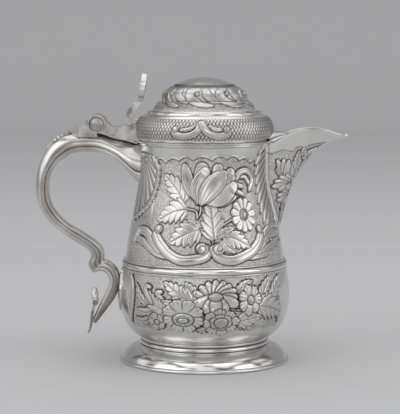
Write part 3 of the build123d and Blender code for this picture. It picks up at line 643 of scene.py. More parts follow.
def flank(share, sections, inset):
    """Points of spout sections from the keel (0) to the rim (1), drawn in by an inset: one cubic
    curve that leaves the keel sharply and ends upright at the rim."""
    keel, rim, half = np.moveaxis(sections, -1, 0)
    low = keel + KEEL_RISE * inset
    side = np.maximum(half - inset, THINNEST)
    left = 1 - share
    across = side * (1.26 * share * left**2 + 3 * share**2 * left + share**3)
    up = low + (rim - low) * (0.3 * share * left**2 + 1.35 * share**2 * left + share**3)
    return across, up


def pour_gap(up, radius):
    """Half the angle of the notch behind the spout at each height: nothing below the keel, then as
    wide as the spout inside its walls, read where those walls cross the neck."""
    share = np.linspace(0, 1, 400)
    out = radius
    for _ in range(4):
        across, level = flank(share[None, :], spline(out, spout_rows)[:, None, :], NOTCH_INSET)
        above = level > up[:, None]
        spot = np.where(above.any(axis=1), above.argmax(axis=1), len(share) - 1)
        half = across[np.arange(len(up)), spot]
        out = np.sqrt(radius**2 - half**2)
    return np.arcsin(half / radius)


def half_sheet(outline, gap=None):
    """Rows up the outline and angles round half the pot, measured from the front."""
    profile = even_profile(outline, GRID)
    columns = int(np.pi * profile[:, 0].mean() / GRID)
    angle = np.tile(np.linspace(-np.pi / 2, np.pi / 2, columns), (len(profile), 1))
    if gap:
        fold = np.radians(FOLD_DEGREES)
        end = np.pi / 2 - gap(profile[:, 1], profile[:, 0])[:, None]
        angle = np.where(angle < fold, angle, fold + (angle - fold) * (end - fold) / (np.pi / 2 - fold))
    return profile, angle


def front_to_angle(points, profile):
    """Where points of the front, drawn as seen from afar, lie on the pot: radius, angle, height."""
    across, up = np.array(points, dtype=float).T
    radius = np.interp(up, profile[:, 1], profile[:, 0])
    return radius, np.arcsin(np.clip(across / radius, -0.99, 0.99)), up


def rolled(profile, angle, mean, outline=0.32):
    """A relief on the sheet rolled out flat at its mean radius: that radius times the angle."""
    def place(points):
        """From the drawing to the flat sheet."""
        _, turn, up = front_to_angle(points, profile)
        return np.stack([mean * turn, up], axis=1)
    return Relief(mean * angle, profile[:, 1:], place, outline)


def add_shell(name, outside, inside, body, node, dark, matting, inner_dark):
    """Closes an outer and an inner grid that run the same way with walls along their edges. The
    inside has no matting, and is as dark all over as inner_dark says."""
    rows, columns = outside.shape[:2]
    fine = np.arange(rows * columns).reshape(rows, columns)
    coarse = rows * columns + np.arange(inside[..., 0].size).reshape(inside.shape[:2])
    points = np.vstack([np.reshape(grid, (-1, 3)) for grid in (outside, inside)])
    faces = [grid_faces(rows, columns), grid_faces(*coarse.shape, first=rows * columns, flip=True)]
    walls = [zipped(fine[edge], coarse[edge]) for edge in FOUR_EDGES]
    attributes = {"tarnish": np.append(np.clip(dark, 0, 1), np.full(coarse.size, inner_dark)),
                  "matting": np.append(np.clip(matting, 0, 1), np.zeros(coarse.size))}
    add_piece(name, points, faces, walls, body, [node], chased_silver, attributes)


def add_halves(name, profile, angle, relief, wall, body, node):
    """The front and back pieces of a chased sheet: the fine outside, and the inside a wall deeper
    with the same relief but fewer points."""
    print(f"{name}: the relief runs from {relief.height.min():.2f} to {relief.height.max():.2f} mm")
    rows, columns = angle.shape
    height = relief.height.reshape(rows, columns)
    normal = profile_normals(profile)
    some_rows = np.unique(np.append(np.arange(0, rows, COARSE), rows - 1))
    some_columns = np.unique(np.append(np.arange(0, columns, COARSE), columns - 1))
    inner = np.ix_(some_rows, some_columns)

    def skin(rise, turn, line, out, side):
        """The outline's points moved out by a rise and carried round, in front or behind."""
        radius = line[:, :1] + rise * out[:, :1]
        up = line[:, 1:] + rise * out[:, 1:]
        return np.stack([radius * np.sin(turn), -side * radius * np.cos(turn), up], axis=-1)

    for label, side in (("front", 1), ("back", -1)):
        inside = skin(height[inner] * INSIDE_RELIEF - wall, angle[inner], profile[some_rows],
                      normal[some_rows], side)
        add_shell(f"{name}_{label}", skin(height, angle, profile, normal, side), inside, body, node,
                  relief.dark, relief.matting, inner_dark=0.1)


# %% [markdown]
# ## The neck
# Below a scalloped line the ground is matted, and on it stand a tulip-like flower with leaves and a
# daisy, held by two long C-scrolls, with a fluted fan towards the handle and a rocaille border
# towards the spout. Every number pair is a place on the front of the pot in millimetres: across from
# the middle, and up from the table. What lies behind comes first, as each stroke covers the last.

# %% Neck ground, fan and borders
neck_profile, neck_angle = half_sheet(neck_outline, pour_gap)
neck = rolled(neck_profile, neck_angle, mean=50.0)
neck.lace([(-33, 143.5), (-26.5, 142.5), (-17.5, 144.5), (-8, 145), (5, 145), (15.5, 145.5), (24, 144.5),
           (31, 142.5), (37, 141)], rise=2.4)
reserve = smooth_step(72.5, 73.5, neck.y) * smooth_step(110, 104, neck.y) * (neck.matting < 0.5)
neck.sink_ground(reserve * smooth_step(66, 63, np.abs(neck.x)))
neck.fan([(-41.5, 148.5), (-37, 147.5), (-34, 145), (-31.5, 141.5), (-31, 138), (-31.5, 132), (-33, 127),
          (-34.5, 121), (-36.5, 116), (-39.5, 111.5), (-43.5, 108), (-48.5, 101.5), (-49.5, 108),
          (-47.5, 120), (-45.5, 135), (-44.2, 148)], (-42.5, 152), ribs=19, high=0.9, shade=0.8)
neck.plume([(-35, 145.5), (-31.6, 139.5), (-31.6, 132), (-33.6, 123), (-37.5, 114.5), (-43.5, 107.5),
            (-48.5, 102)], 2.0, flutes=13, taper=0.0, lobes=0.7)
neck.whorl((-40, 143), 2.0)
neck.plume([(48.5, 92), (45.5, 101), (41.6, 113), (39.3, 125), (38.4, 137), (39.5, 146), (40.5, 150)],
           8.5, flutes=10, taper=0.1, slant=1.5, lobes=0.4, high=1.0, gash=0.18)
neck.band([(43.6, 148), (43.9, 138), (44.2, 127), (46, 116), (48, 106), (50, 95), (52, 86)], 1.3, taper=0.1)

# %% The two C-scrolls and the leaves behind them
for line, half, widest, blunt in (
    ([(-23, 78.6), (-33, 82), (-40, 87), (-46.5, 90)], 3.0, 0.4, 0.25),
    ([(-30, 82), (-36, 90), (-40.5, 95), (-45, 94.8), (-47.2, 89.5)], 3.2, 0.35, 0.5),
    ([(27, 78.5), (36, 79.5), (43, 80.5), (46, 83.5)], 2.6, 0.4, 0.25),
    ([(32, 81), (40, 83.5), (46.5, 85), (50, 90)], 2.3, 0.4, 0.25),
    ([(35, 83), (40, 88), (44, 93), (49, 93)], 3.0, 0.4, 0.5),
    ([(38, 90), (42, 95), (45.5, 98.5), (48.5, 97.5)], 2.0, 0.4, 0.5),
):
    neck.petal(line, half, widest=widest, blunt=blunt)
neck.band([(1, 85), (0.5, 80.5), (-6, 78.3), (-16, 77.5), (-24, 81), (-30, 87.5), (-33, 93), (-32.6, 98)],
          3.3, taper=0.0, line=-0.35)
neck.whorl((-1.8, 85.5), 3.9, hand=-1)
neck.whorl((-31.2, 97.6), 3.0)
neck.band([(7.2, 85.5), (9.5, 80), (17.5, 77.3), (25.5, 79), (33.5, 83.5), (37.6, 89), (38.6, 96)],
          3.3, taper=0.0, line=0.35)
neck.whorl((9.8, 85.5), 3.9)
neck.whorl((37.6, 96.8), 2.8, hand=-1)

# %% Stalks and leaves
for line in ([(5.5, 89.5), (7, 94.5), (10.5, 99.5), (17.5, 104), (20, 105)],
             [(5, 91), (4, 95), (-0.5, 98), (-5, 98)],
             [(-2.5, 117.5), (-2.8, 110), (-5, 105.5)],
             [(-5, 105.5), (-6, 110.5), (-12.5, 112)],
             [(7, 94), (12, 93), (17, 91)]):
    neck.stem(line, 0.7)
neck.leaf([(-13.5, 116), (-18.5, 124.5), (-27, 134.5)], 8.0)
neck.leaf([(-12, 111.5), (-21, 109.5), (-31.8, 103.2)], 8.2)
neck.leaf([(-3.5, 98.5), (-12, 95), (-24, 88.6)], 9.0)
neck.leaf([(6.6, 91.5), (5.2, 104), (3.6, 118.5)], 8.4)
neck.leaf([(9, 93.5), (14, 96.5), (21, 99.5)], 3.2, teeth=3, cut=0.2)
neck.leaf([(12, 91), (16, 87), (21, 82.2)], 5.0, teeth=3)
neck.leaf([(13.5, 93), (20.5, 91.5), (31, 85.6)], 6.6)
neck.petal([(21, 132), (27, 133), (30, 128)], 1.6, ribs=2)
neck.band([(21.2, 132), (23.6, 136), (28.2, 137), (32, 133.5), (32.6, 128), (30.4, 123.4)], 2.1,
          taper=-0.25, line=0.3)
neck.petal([(19.5, 130), (22.5, 127.5), (25.5, 126.5)], 1.9, ribs=2)
neck.petal([(18, 126), (22, 123.5), (26, 121)], 1.8, ribs=2)

# %% The tulip and the daisy
neck.petal([(-2.5, 127), (-2.5, 133), (-1.6, 138.8)], 5.6, high=0.8, blunt=0.4, hollow=0.3)
neck.petal([(7.8, 127), (8.8, 133), (9.2, 138.4)], 4.8, high=0.8, blunt=0.4, hollow=0.3)
neck.petal([(-6.5, 118.5), (-11, 130), (-13.4, 140.6)], 4.3, blunt=0.06, hollow=0.55)
neck.petal([(13, 125), (16.6, 131), (17.6, 136.2)], 3.9, blunt=0.4, hollow=0.2)
neck.petal([(3, 115.2), (12, 115.6), (20, 119.5)], 2.4)
neck.petal([(2.5, 116), (11.5, 118.8), (19.2, 126.4)], 4.8, ribs=5, blunt=0.2)
neck.petal([(-4.6, 116.2), (-5.2, 126.5), (0.4, 136.4)], 4.9, high=1.1, ribs=4, blunt=0.3)
neck.petal([(-2, 116), (3.2, 124.6), (13.2, 135.6)], 6.9, high=1.25, ribs=4, blunt=0.03, hollow=0.5)
neck.daisy((26.6, 107.3), (9.8, 11.9), petals=11, eye=0.28, high=1.2, turn=0.2)
neck.eye((26.8, 107.3), (1.4, 2.0), low=1.1, high=0.2)
neck.punch(3)
add_halves("neck_chased", neck_profile, neck_angle, neck, 1.0, "tankard", "body_neck")

# %% [markdown]
# ## The belly
# A garland of full-blown flowers runs round the belly over a matted ground: two broad ones side by
# side in front, a poppy above them, a smaller flower towards each side, and leaves between them and
# at both ends. The swelling below the garland is polished, and so are the sides beside the handle.

# %% Belly ground and leaves
belly_profile, belly_angle = half_sheet(belly_outline)
BELLY_MEAN = 59.0
GARLAND_DEGREES = 61
# A wider dark line round each form here, tarnish with a painted contact shadow, sets the flowers off the
# ground.
belly = rolled(belly_profile, belly_angle, BELLY_MEAN, outline=0.46)
side = BELLY_MEAN * np.radians(GARLAND_DEGREES)
belly.sink_ground(smooth_step(27.5, 29.0, belly.y) * smooth_step(side + 0.5, side - 0.5, np.abs(belly.x)))
belly.plume([(-50.5, 33), (-49.5, 45), (-49, 56), (-50, 64)], 1.4, flutes=9, taper=0.1)
belly.plume([(50.8, 33), (50.5, 45), (50, 56), (50.5, 64)], 1.4, flutes=9, taper=0.1)
belly.petal([(-24.5, 45.5), (-28.5, 49), (-32, 54.5), (-29.5, 55.5)], 2.4, widest=0.35, blunt=0.2)
belly.leaf([(-26, 42.5), (-33, 45.5), (-37.5, 51), (-40, 57.5)], 6.2, teeth=5)
belly.petal([(-35.5, 47), (-40, 54), (-39.5, 58.5), (-37, 58)], 2.0, widest=0.35, blunt=0.2)
for line, half, teeth in (
    ([(-39, 46), (-44, 51), (-46.5, 59.5)], 3.2, 4),
    ([(-36, 42), (-41, 40.5), (-46.5, 42.5)], 3.4, 5),
    ([(-36, 37), (-42, 34), (-47, 36)], 3.0, 5),
    ([(-5, 48), (-8, 55), (-13, 63)], 5.4, 4),
    ([(-7, 48.5), (-16, 54), (-27.5, 62.5)], 6.6, 5),
    ([(-12, 50), (-21, 48), (-29, 50)], 3.2, 5),
    ([(38, 48), (40.5, 56), (44, 64.5)], 5.0, 4),
    ([(45.5, 49), (49, 56), (51.8, 64.3)], 5.6, 4),
    ([(36.5, 45.5), (45, 43.5), (52.6, 38)], 9.0, 5),
    ([(23, 36), (29, 33), (34, 29.5)], 4.6, 3),
    ([(23, 36), (30, 37), (38, 38)], 6.0, 3),
    ([(22, 56), (27, 61), (33, 63)], 3.0, 4),
    ([(4, 33), (-1, 30.5), (-6, 30)], 2.4, 3),
):
    belly.leaf(line, half, teeth)
belly.stem([(22, 44), (28, 43), (35, 42)])

# %% Belly flowers
belly.bloom((-32.5, 35), (7.0, 6.2), petals=5)
belly.eye((-32.2, 34.6), (1.9, 1.6), low=0.6)
belly.bloom((31, 50), (9.0, 10.8), petals=7, high=1.2, turn=0.4)
belly.eye((31.4, 50), (2.4, 3.0), low=0.9)
for tip in [(-5.5, 55.5), (-2, 59.5), (2.5, 61.8), (7.5, 62.8), (12.5, 62), (16.5, 60), (19.8, 57),
            (20.5, 53)]:
    belly.petal([(7.5, 52), (0.5 * tip[0] + 3.75, 0.5 * tip[1] + 26.6), tip], 2.5, high=1.0)
for tip in [(-4.5, 48.5), (20, 48.5), (1.5, 44.8), (13.5, 44.8), (7.4, 44)]:
    belly.petal([(7.5, 53), (0.5 * tip[0] + 3.75, 0.5 * tip[1] + 26.2), tip], 4.0, high=1.25, ribs=1)
belly.eye((7.5, 53.2), (4.4, 2.6), low=1.0)
belly.bloom((11, 35.8), (13.2, 9.4), high=1.2, turn=0.3)
belly.bloom((11, 36.0), (7.8, 5.4), petals=6, high=0.6, low=0.8, turn=0.9)
belly.eye((11, 35.6), (4.4, 3.2), low=1.0)
belly.bloom((-14.8, 39.8), (14.8, 11.8), high=1.5, turn=1.57)
belly.eye((-14.5, 37.6), (7.0, 4.2), low=0.75, high=0.5)
belly.eye((-14.5, 37.0), (3.4, 1.7), low=1.15, high=0.4)
belly.punch(5)
add_halves("belly_chased", belly_profile, belly_angle, belly, 1.0, "tankard", "body_belly")

# %% [markdown]
# ## The lid
# The lid's band is covered with small scales, with a pair of scrolls in front. The dome above the
# plain step carries leaves that swirl round it, shallower towards the crown. The sheet is rolled out
# by its own arc length here, because the dome lies nearly flat at its top.

# %% Lid sheet
lid_outline = [
    [(46.8, 156.25), (50.1, 161.45), (49.7, 171.65), (41.0, 174.65)],
    [(41.0, 174.65), (36.9, 175.45)],
    [(36.9, 175.45), (35.5, 180.45), (31.8, 182.45), (29.6, 183.65)],
    [(29.6, 183.65), (30.0, 189.65), (26.2, 192.75), (20.6, 194.35)],
]
lid_profile, lid_angle = half_sheet(lid_outline)
lid_run = distances(lid_profile)


def on_lid(points, turn=0.0):
    """Puts points of the front drawing on the lid's sheet, turned round the lid by an angle."""
    radius, angle, up = front_to_angle(points, lid_profile)
    return np.stack([radius * (angle + turn), np.interp(up, lid_profile[:, 1], lid_run)], axis=1)


# %% Lid ornament
SCALES_ROUND = 118
SCALE_HEIGHT = 2.3
lid = Relief(lid_profile[:, :1] * lid_angle, lid_run[:, None], on_lid)
height_above = np.repeat(lid_profile[:, 1], lid_angle.shape[1])
on_band = smooth_step(157.6, 158.4, height_above) * smooth_step(173.2, 172.4, height_above)
lid.lattice(on_band, lid_angle.ravel() * SCALES_ROUND / (2 * np.pi), lid.y / (2 * SCALE_HEIGHT))
lid.band([(-3, 169.8), (-4.8, 165), (-9.5, 162), (-15, 161.2), (-19.8, 162.4), (-21.4, 165.6)], 2.2,
         taper=-0.05, high=0.45, line=0.4)
lid.whorl((-19.8, 166), 2.1, high=0.55, low=0.35)
lid.band([(-1.8, 169.8), (0.8, 165), (5.5, 162.2), (11, 161.2), (15.2, 162.4), (16.6, 165.6)], 2.2,
         taper=-0.05, high=0.45, line=-0.4)
lid.whorl((14.9, 166), 2.1, high=0.55, low=0.35)
lid.petal([(-6.5, 168.5), (-11, 166), (-16, 165.4)], 1.3, ribs=1, high=0.4)
lid.petal([(3, 168.5), (7, 166), (11, 165.6)], 1.3, ribs=1, high=0.4)
for turn in np.radians([-86, -43, 0, 43, 86]):
    lid.place = functools.partial(on_lid, turn=turn)
    lid.petal([(10.5, 183), (5, 185.5), (1.5, 189), (1, 193)], 3.0, high=0.5, ribs=1, blunt=0.05)
    lid.petal([(5.5, 181), (-3, 182.3), (-9.4, 185.6), (-9.6, 190.5), (-5.5, 192.2)], 3.3,
              high=0.55, ribs=1, blunt=0.3)
    lid.whorl((-5, 189), 1.5, high=0.6)
lid.height *= 1 - 0.85 * smooth_step(189.0, 192.5, height_above)
on_dome = smooth_step(176.5, 178, height_above) * smooth_step(184.5, 183.5, height_above)
lid.matting = on_dome * (lid.height < 0.1)
# Painted shade: from 177 mm up the lid is darkened a little, and a painted shadow line runs under the
# crown's edge.
crown_shadow_line = 0.7 * smooth_step(192.3, 193.3, height_above)
lid.dark = np.maximum.reduce([lid.dark, 0.3 * smooth_step(177.0, 180.0, height_above), crown_shadow_line])
add_halves("lid_chased", lid_profile, lid_angle, lid, 0.9, "lid", "lid_shell")

# %% [markdown]
# ## Plates that close the ends
# The drum's base and the top of the lid, under its crown, are plain turned sheet. A turned piece is
# one line carried round the axis; where the line meets the axis it ends in one point and a fan of
# triangles, so that no hole stays at the pole.


# %% Turned plates
PLATE_COLUMNS = 180
PLATE_PITCH = 1.5


def full_turn(steps):
    """Angles at even steps all the way round."""
    return np.linspace(0, 2 * np.pi, steps, endpoint=False)


def carried_round(line, columns):
    """Rows of points from carrying a line of (radius, height) round the axis."""
    turn = full_turn(columns)
    radius, up = line[:, :1], line[:, 1:]
    return np.stack([radius * np.cos(turn), radius * np.sin(turn), up + 0 * turn], axis=-1)


def tarnish_and_shade_only(dark):
    """What a finish reads from a piece that has dark lines, tarnish or painted shade, and no matted ground.
    """
    return {"tarnish": dark, "matting": 0 * dark}


def add_turned(name, line, body, node, material, film_and_shade=None):
    """Carries a line from the axis and back to the axis round it, with one point at each pole."""
    line = np.array(line, dtype=float)
    rings = carried_round(line[1:-1], PLATE_COLUMNS).reshape(-1, 3)
    points = np.vstack([[(0, 0, line[0, 1])], rings, [(0, 0, line[-1, 1])]])
    rows = len(line) - 2
    first = 1 + np.arange(PLATE_COLUMNS)
    last = first + (rows - 1) * PLATE_COLUMNS
    start = np.stack([0 * first, np.roll(first, -1), first], axis=1)
    end = np.stack([0 * last + len(points) - 1, last, np.roll(last, -1)], axis=1)
    faces = [grid_faces(rows, PLATE_COLUMNS, first=1, wrap=True), start, end]
    paint = None
    # The darkness given for each point of the line is painted shade, repeated round each ring.
    if film_and_shade is not None:
        rings_shadow = np.repeat(film_and_shade[1:-1], PLATE_COLUMNS)
        paint = tarnish_and_shade_only(np.concatenate([film_and_shade[:1], rings_shadow, film_and_shade[-1:]]))
    add_piece(name, points, faces, [], body, [node], material, paint)


def sheet_line(outline, thickness):
    """A sheet's outline from the axis outwards, and back along its inside."""
    outside = even_profile(outline, PLATE_PITCH)
    inside = outside - thickness * profile_normals(outside)
    inside[0, 0] = 0.0
    return np.vstack([outside, inside[::-1]])


base = sheet_line([[(0, 12), (22, 12), (35.2, 12), (44, 16.4)], [(44, 16.4), (45.2, 17.0)]], 1.0)
add_turned("belly_base", base, "tankard", "body_belly", plain_silver)
lid_top = sheet_line([[(0, 199.25), (6.2, 199.25), (11.3, 197.29), (20.6, 194.35)],
                      [(20.6, 194.35), (21.2, 194.1)]], -0.9)
add_turned("lid_top", lid_top, "lid", "lid_shell", plain_silver)

# %% [markdown]
# ## The spout
# The beak is a sheet bent to a sharp keel, so its cross-section is one curve from rim to keel and its
# mirror image. The grid runs out along the spout and round each section; it starts where it meets the
# neck, found for every line of the grid, so that the joint fits. The near side's drawing, a matted
# field with dark edges and sprays of leaves, is laid on in side view, because the flanks hang almost
# upright, and the far side gets the same.


# %% Spout surface
SPOUT_OUT, SPOUT_ROUND = 150, 220
INSIDE_OUT, INSIDE_ROUND = 50, 74
SPOUT_WALL = 1.1


def spout_side(out_count, round_count, inset):
    """One flank as a grid of points, from its joint with the neck to the tip. Along each line of
    the grid the joint is the first place that stands outside the neck."""
    share = np.linspace(0, 1, round_count)
    x = np.linspace(spout_rows[0, 0] + 0.1, spout_rows[-1, 0] - 0.3 * inset, 600)
    across, up = flank(share[None, :], spline(x, spout_rows)[:, None, :], inset)
    gap = np.hypot(x[:, None], across) - np.interp(up, neck_profile[:, 1], neck_profile[:, 0]) + 0.5
    start = x[np.maximum(np.argmax(gap > 0, axis=0), 1)]
    start = np.convolve(np.pad(start, 4, mode="edge"), np.ones(9) / 9, mode="valid")
    spots = start[None, :] + (x[-1] - start[None, :]) * np.linspace(0, 1, out_count)[:, None]
    across, up = flank(share[None, :], spline(spots, spout_rows), inset)
    return np.stack([spots, -across, up], axis=-1)


def surface_normals(grid):
    """Unit normals of a grid of points, from the cross product of its two directions. A flank's
    rows run outwards and its columns upwards, so they point away from the metal."""
    normal = np.cross(np.gradient(grid, axis=0), np.gradient(grid, axis=1))
    return normal / (np.linalg.norm(normal, axis=-1, keepdims=True) + 1e-12)


outer_side = spout_side(SPOUT_OUT, SPOUT_ROUND, 0.0)
inner_side = spout_side(INSIDE_OUT, INSIDE_ROUND, SPOUT_WALL)
print("spout joint from", outer_side[0, 0], "to", outer_side[0, -1])

# %% Spout field and edges
spout = Relief(outer_side[..., 0], outer_side[..., 2], lambda points: np.array(points, dtype=float))
from_joint = spout.x - np.interp(spout.y, outer_side[0, :, 2], outer_side[0, :, 0])
from_keel = np.interp(spout.y, outer_side[:, 0, 2], outer_side[:, 0, 0]) - spout.x
scallop_x = [48, 55, 62, 64, 67, 70, 73, 78, 88]
scallop_up = [147.6, 150, 148.5, 151.5, 152.4, 150, 153, 154, 154.5]
from_scallops = np.interp(spout.x, scallop_x, scallop_up) - spout.y
spout.matting = (smooth_step(2.4, 3.0, from_joint) * smooth_step(0.0, 0.6, from_scallops)
                 * smooth_step(2.0, 2.6, from_keel))
spout.height -= 0.25 * spout.matting
edge = bell(from_joint, 0.3, 2.6) + bell(from_keel, 0.35, 2.2) + bell(from_scallops, 0.32) * (spout.x < 86)
spout.dark = np.clip(edge * 0.8, 0, 1) * (spout.y < 155)
spout.height -= 0.15 * spout.dark

# %% Spout leaves
spout.leaf([(62.0, 129.9), (64.1, 137.4), (66.3, 149.2)], 3.6, teeth=5, high=0.7)
spout.leaf([(61.2, 130.4), (59.8, 134.2), (60.4, 140.6)], 3.0, teeth=4, high=0.7)
spout.leaf([(66.3, 133.1), (68.9, 138.5), (72.7, 142.8)], 2.2, teeth=5, high=0.7)
for root, half, tips in (
    ((56.1, 131.0), 2.1, [[(53.4, 133.4), (50.7, 136.3)], [(53.5, 136.2), (51.0, 142.0)],
                          [(55.5, 136.3), (55.0, 142.2)], [(57.4, 136.0), (58.7, 141.4)]]),
    ((61.2, 125.1), 2.1, [[(59.4, 128.6), (57.7, 132.1)], [(57.2, 127.9), (53.4, 130.7)],
                          [(55.5, 126.4), (49.9, 127.8)], [(54.6, 124.7), (48.0, 124.3)],
                          [(56.9, 123.6), (52.6, 122.1)], [(59.4, 124.0), (57.7, 122.9)]]),
    ((59.8, 117.0), 2.0, [[(57.7, 118.8), (55.5, 120.5)], [(55.9, 117.4), (52.0, 117.8)],
                          [(55.8, 115.7), (51.8, 114.3)], [(57.7, 114.7), (55.5, 112.4)]]),
):
    for tip in tips:
        spout.petal([root, *tip], half, high=0.7, blunt=0.1)
spout.stem([(61.2, 130.4), (61.4, 125.1), (59.8, 117.0), (57.1, 107.3), (54.5, 99.2)], 0.6)
spout.band([(69.5, 143.9), (72.7, 147.6), (76.4, 149.2), (79.1, 150.8)], 1.3, high=0.6)
spout.leaf([(69.5, 145.5), (69.5, 148.7), (70.5, 151.4)], 2.4, teeth=3, high=0.5)
spout.leaf([(55.5, 104.6), (55.0, 108.9), (55.5, 112.2)], 1.8, teeth=4, high=0.5)
spout.punch(7)


# %% Spout mesh
def both_sides(grid, mirror):
    """A flank and its mirror image joined along the keel into one grid, from rim to rim."""
    return np.concatenate([grid[:, ::-1], grid[:, 1:] * mirror], axis=1)


# The relief fades out at the keel and at the tip, where the two flanks meet
rise, dark, matting = (values.reshape(SPOUT_OUT, SPOUT_ROUND, 1)
                       for values in (spout.height, spout.dark, spout.matting))
rise *= np.minimum(1, np.linspace(16, 0, SPOUT_OUT))[:, None, None]
rise *= np.minimum(1, np.linspace(0, 12, SPOUT_ROUND))[:, None]
raised = outer_side + surface_normals(outer_side) * rise
ACROSS_Y = np.array((1, -1, 1))
add_shell("spout_chased", both_sides(raised, ACROSS_Y), both_sides(inner_side, ACROSS_Y), "tankard",
          "spout_shell", both_sides(dark, 1), both_sides(matting, 1), inner_dark=0.0)

# %% [markdown]
# ## Turned mouldings
# The foot, the girdle, the reeds and the crown are smooth rings, and what shows them is a dark line
# in each hollow: tarnish that a polishing cloth can't reach, with painted shade added to it. A ring
# is one closed line carried round the axis. How sharply that line bends inwards at a point says how
# dark the point is.

# %% Rings
RING_COLUMNS = 240
RING_PITCH = 0.35
HOLLOW_REACH, HOLLOW_DARKNESS = 3, 3.2


def rounded(corners):
    """A closed line through these corners, with points at an even distance and soft corners."""
    line = evenly_along(np.array(corners + corners[:1], dtype=float), RING_PITCH, closed=True)
    for _ in range(2):
        line = (np.roll(line, 1, axis=0) + 2 * line + np.roll(line, -1, axis=0)) / 4
    return line


def hollows(line):
    """How deep each point of a closed line lies below the chord of its neighbours, from 0 to 1."""
    ahead, behind = np.roll(line, -HOLLOW_REACH, axis=0), np.roll(line, HOLLOW_REACH, axis=0)
    way = ahead - behind
    turn = way[:, 0] * (line - behind)[:, 1] - way[:, 1] * (line - behind)[:, 0]
    area = np.sum(line[:, 0] * np.roll(line[:, 1], -1) - line[:, 1] * np.roll(line[:, 0], -1))
    depth = turn * np.sign(area) / (np.hypot(way[:, 0], way[:, 1]) + 1e-6)
    return np.clip(depth * HOLLOW_DARKNESS, 0, 1)


def add_ring(name, corners, body, node):
    """Carries a closed line round the axis, and darkens its hollows."""
    line = rounded(corners)
    faces = grid_faces(len(line), RING_COLUMNS, wrap=True, loop=True)
    # Tarnish and painted shade: darker where the outline bends inwards.
    paint = tarnish_and_shade_only(np.repeat(hollows(line), RING_COLUMNS))
    add_piece(name, carried_round(line, RING_COLUMNS), [faces], [], body, [node], ring_silver,
              paint)


def curve_points(*controls, count=24):
    """Points of one curve, as a list that can stand among corners."""
    return [tuple(point) for point in bezier(controls, np.linspace(0, 1, count))]


# %% Foot, girdle, reeds and crown
ring_silver = silver("ring_silver", polish=0.13, tarnish=0.2, chased=True)
add_ring("foot_collar_ring", [(42.6, 12.2), (45.4, 12.2), (46.0, 13.2), (45.6, 14.5), (44.7, 15.1),
                              (45.1, 16.1), (45.1, 17.2), (44.4, 17.2), (43.6, 16.4), (42.6, 16.0)],
         "tankard", "foot_collar")
skirt_out = curve_points((58.9, 2.4), (56.7, 7.8), (50.9, 10.6), (45.3, 12.2))
skirt_in = curve_points((44.9, 11.1), (50.2, 9.5), (55.7, 6.9), (57.7, 2.4))
add_ring("foot_skirt_ring", skirt_out + skirt_in, "tankard", "foot_skirt")
add_ring("foot_wire_ring", [(56.9, 0), (59.6, 0), (60.3, 0.7), (60.3, 1.6), (59.6, 2.4), (56.9, 2.4)],
         "tankard", "foot_wire")
rib = curve_points((57.8, 67.3), (59.1, 68.2), (58.9, 70.4), (57.3, 71.3))
add_ring("girdle_ring", [(56.2, 65.9), (58.1, 65.9), (58.2, 67.0), *rib, (57.0, 71.8), (57.6, 72.35),
                         (56.5, 73.1), (55.4, 73.1)], "tankard", "girdle_band")
add_ring("lid_reeds_ring", [(36.5, 174.9), (36.5, 176.0), (37.0, 177.1), (38.3, 177.1), (38.95, 175.95),
                            (39.35, 176.5), (40.4, 176.2), (41.0, 174.4), (39, 174.6)], "lid", "lid_reeds")
crown_top = curve_points((0, 200.35), (6.2, 200.35), (12.4, 198.5), (21.4, 194.9), count=40)
crown_under = curve_points((20.6, 194.35), (11.3, 197.3), (6.2, 199.25), (0, 199.25), count=20)
crown = np.array([*crown_top, (21.4, 193.4), *crown_under])
# Painted shadow: the crown plate darkens towards its rim, where it overhangs the dome.
crown_rim_shadow = 0.85 * smooth_step(19.3, 20.7, crown[:, 0])
add_turned("lid_crown_plate", crown, "lid", "lid_crown", ring_silver, crown_rim_shadow)

# %% [markdown]
# ## The handle
# The handle is two stampings soldered together, so a dark seam runs along each side, and the parts
# that no cloth reaches have turned brown. Its sections are carried along two side lines, the outer
# and the inner edge, as the construction model does it. Painting the tarnish as a number at each
# point puts it exactly along the seam, which a noise pattern could not.

# %% Handle lines
# Out from the mouth or the belly and up from the mouth or the handle's foot, outer then inner edge
MOUTH, FOOT = (45.6, 155.2), (60.2, 54.0)
upper_bow = np.array([(-3.2, -3.0, -5.0, -30.0), (4.7, -0.9, 0.4, -29.4), (11.1, 0.8, 4.1, -26.2),
                      (19.5, 2.7, 14.7, -14.8), (28.6, 5.7, 25.9, -9.2), (38.4, 6.1, 34.9, -7.6),
                      (52.4, 4.1, 45.7, -8.5), (61.8, -1.1, 52.9, -12.7), (67.4, -8.7, 57.4, -16.6),
                      (71.9, -20.2, 62.3, -24.2)])
lower_bow = np.array([(58.8, 68.0, 49.2, 67.0), (57.8, 58.5, 48.5, 60.0), (54.3, 51.0, 46.3, 54.5),
                      (48.1, 42.3, 41.3, 47.8), (39.3, 35.2, 34.3, 42.0), (30.9, 29.5, 25.8, 37.0),
                      (24.3, 25.5, 17.3, 31.3), (21.1, 22.0, 11.6, 25.5), (20.4, 18.4, 10.4, 20.4),
                      (22.1, 13.0, 10.4, 19.0), (19.6, 8.2, 10.6, 17.4)])
lower_scroll = np.array([(10.2, 17.4, 18.4, 7.6), (8.2, 16.8, 14.5, 8.9), (4.4, 14.2, 11.4, 8.4),
                         (1.0, 10.0, 8.7, 5.8), (-0.5, 4.0, 7.6, 2.0), (0.6, -3.0, 8.4, -2.8),
                         (2.8, -9.6, 10.4, -7.2), (6.8, -15.4, 12.8, -11.8), (11.4, -21.4, 15.8, -18.0),
                         (14.4, -25.4, 17.8, -22.6), (17.0, -28.6, 19.6, -26.6)])
SECTION_STEPS = 22
SEAM_SINK, SEAM_HALF = 0.035, 0.045
SINK_INTO_NECK = 0.5


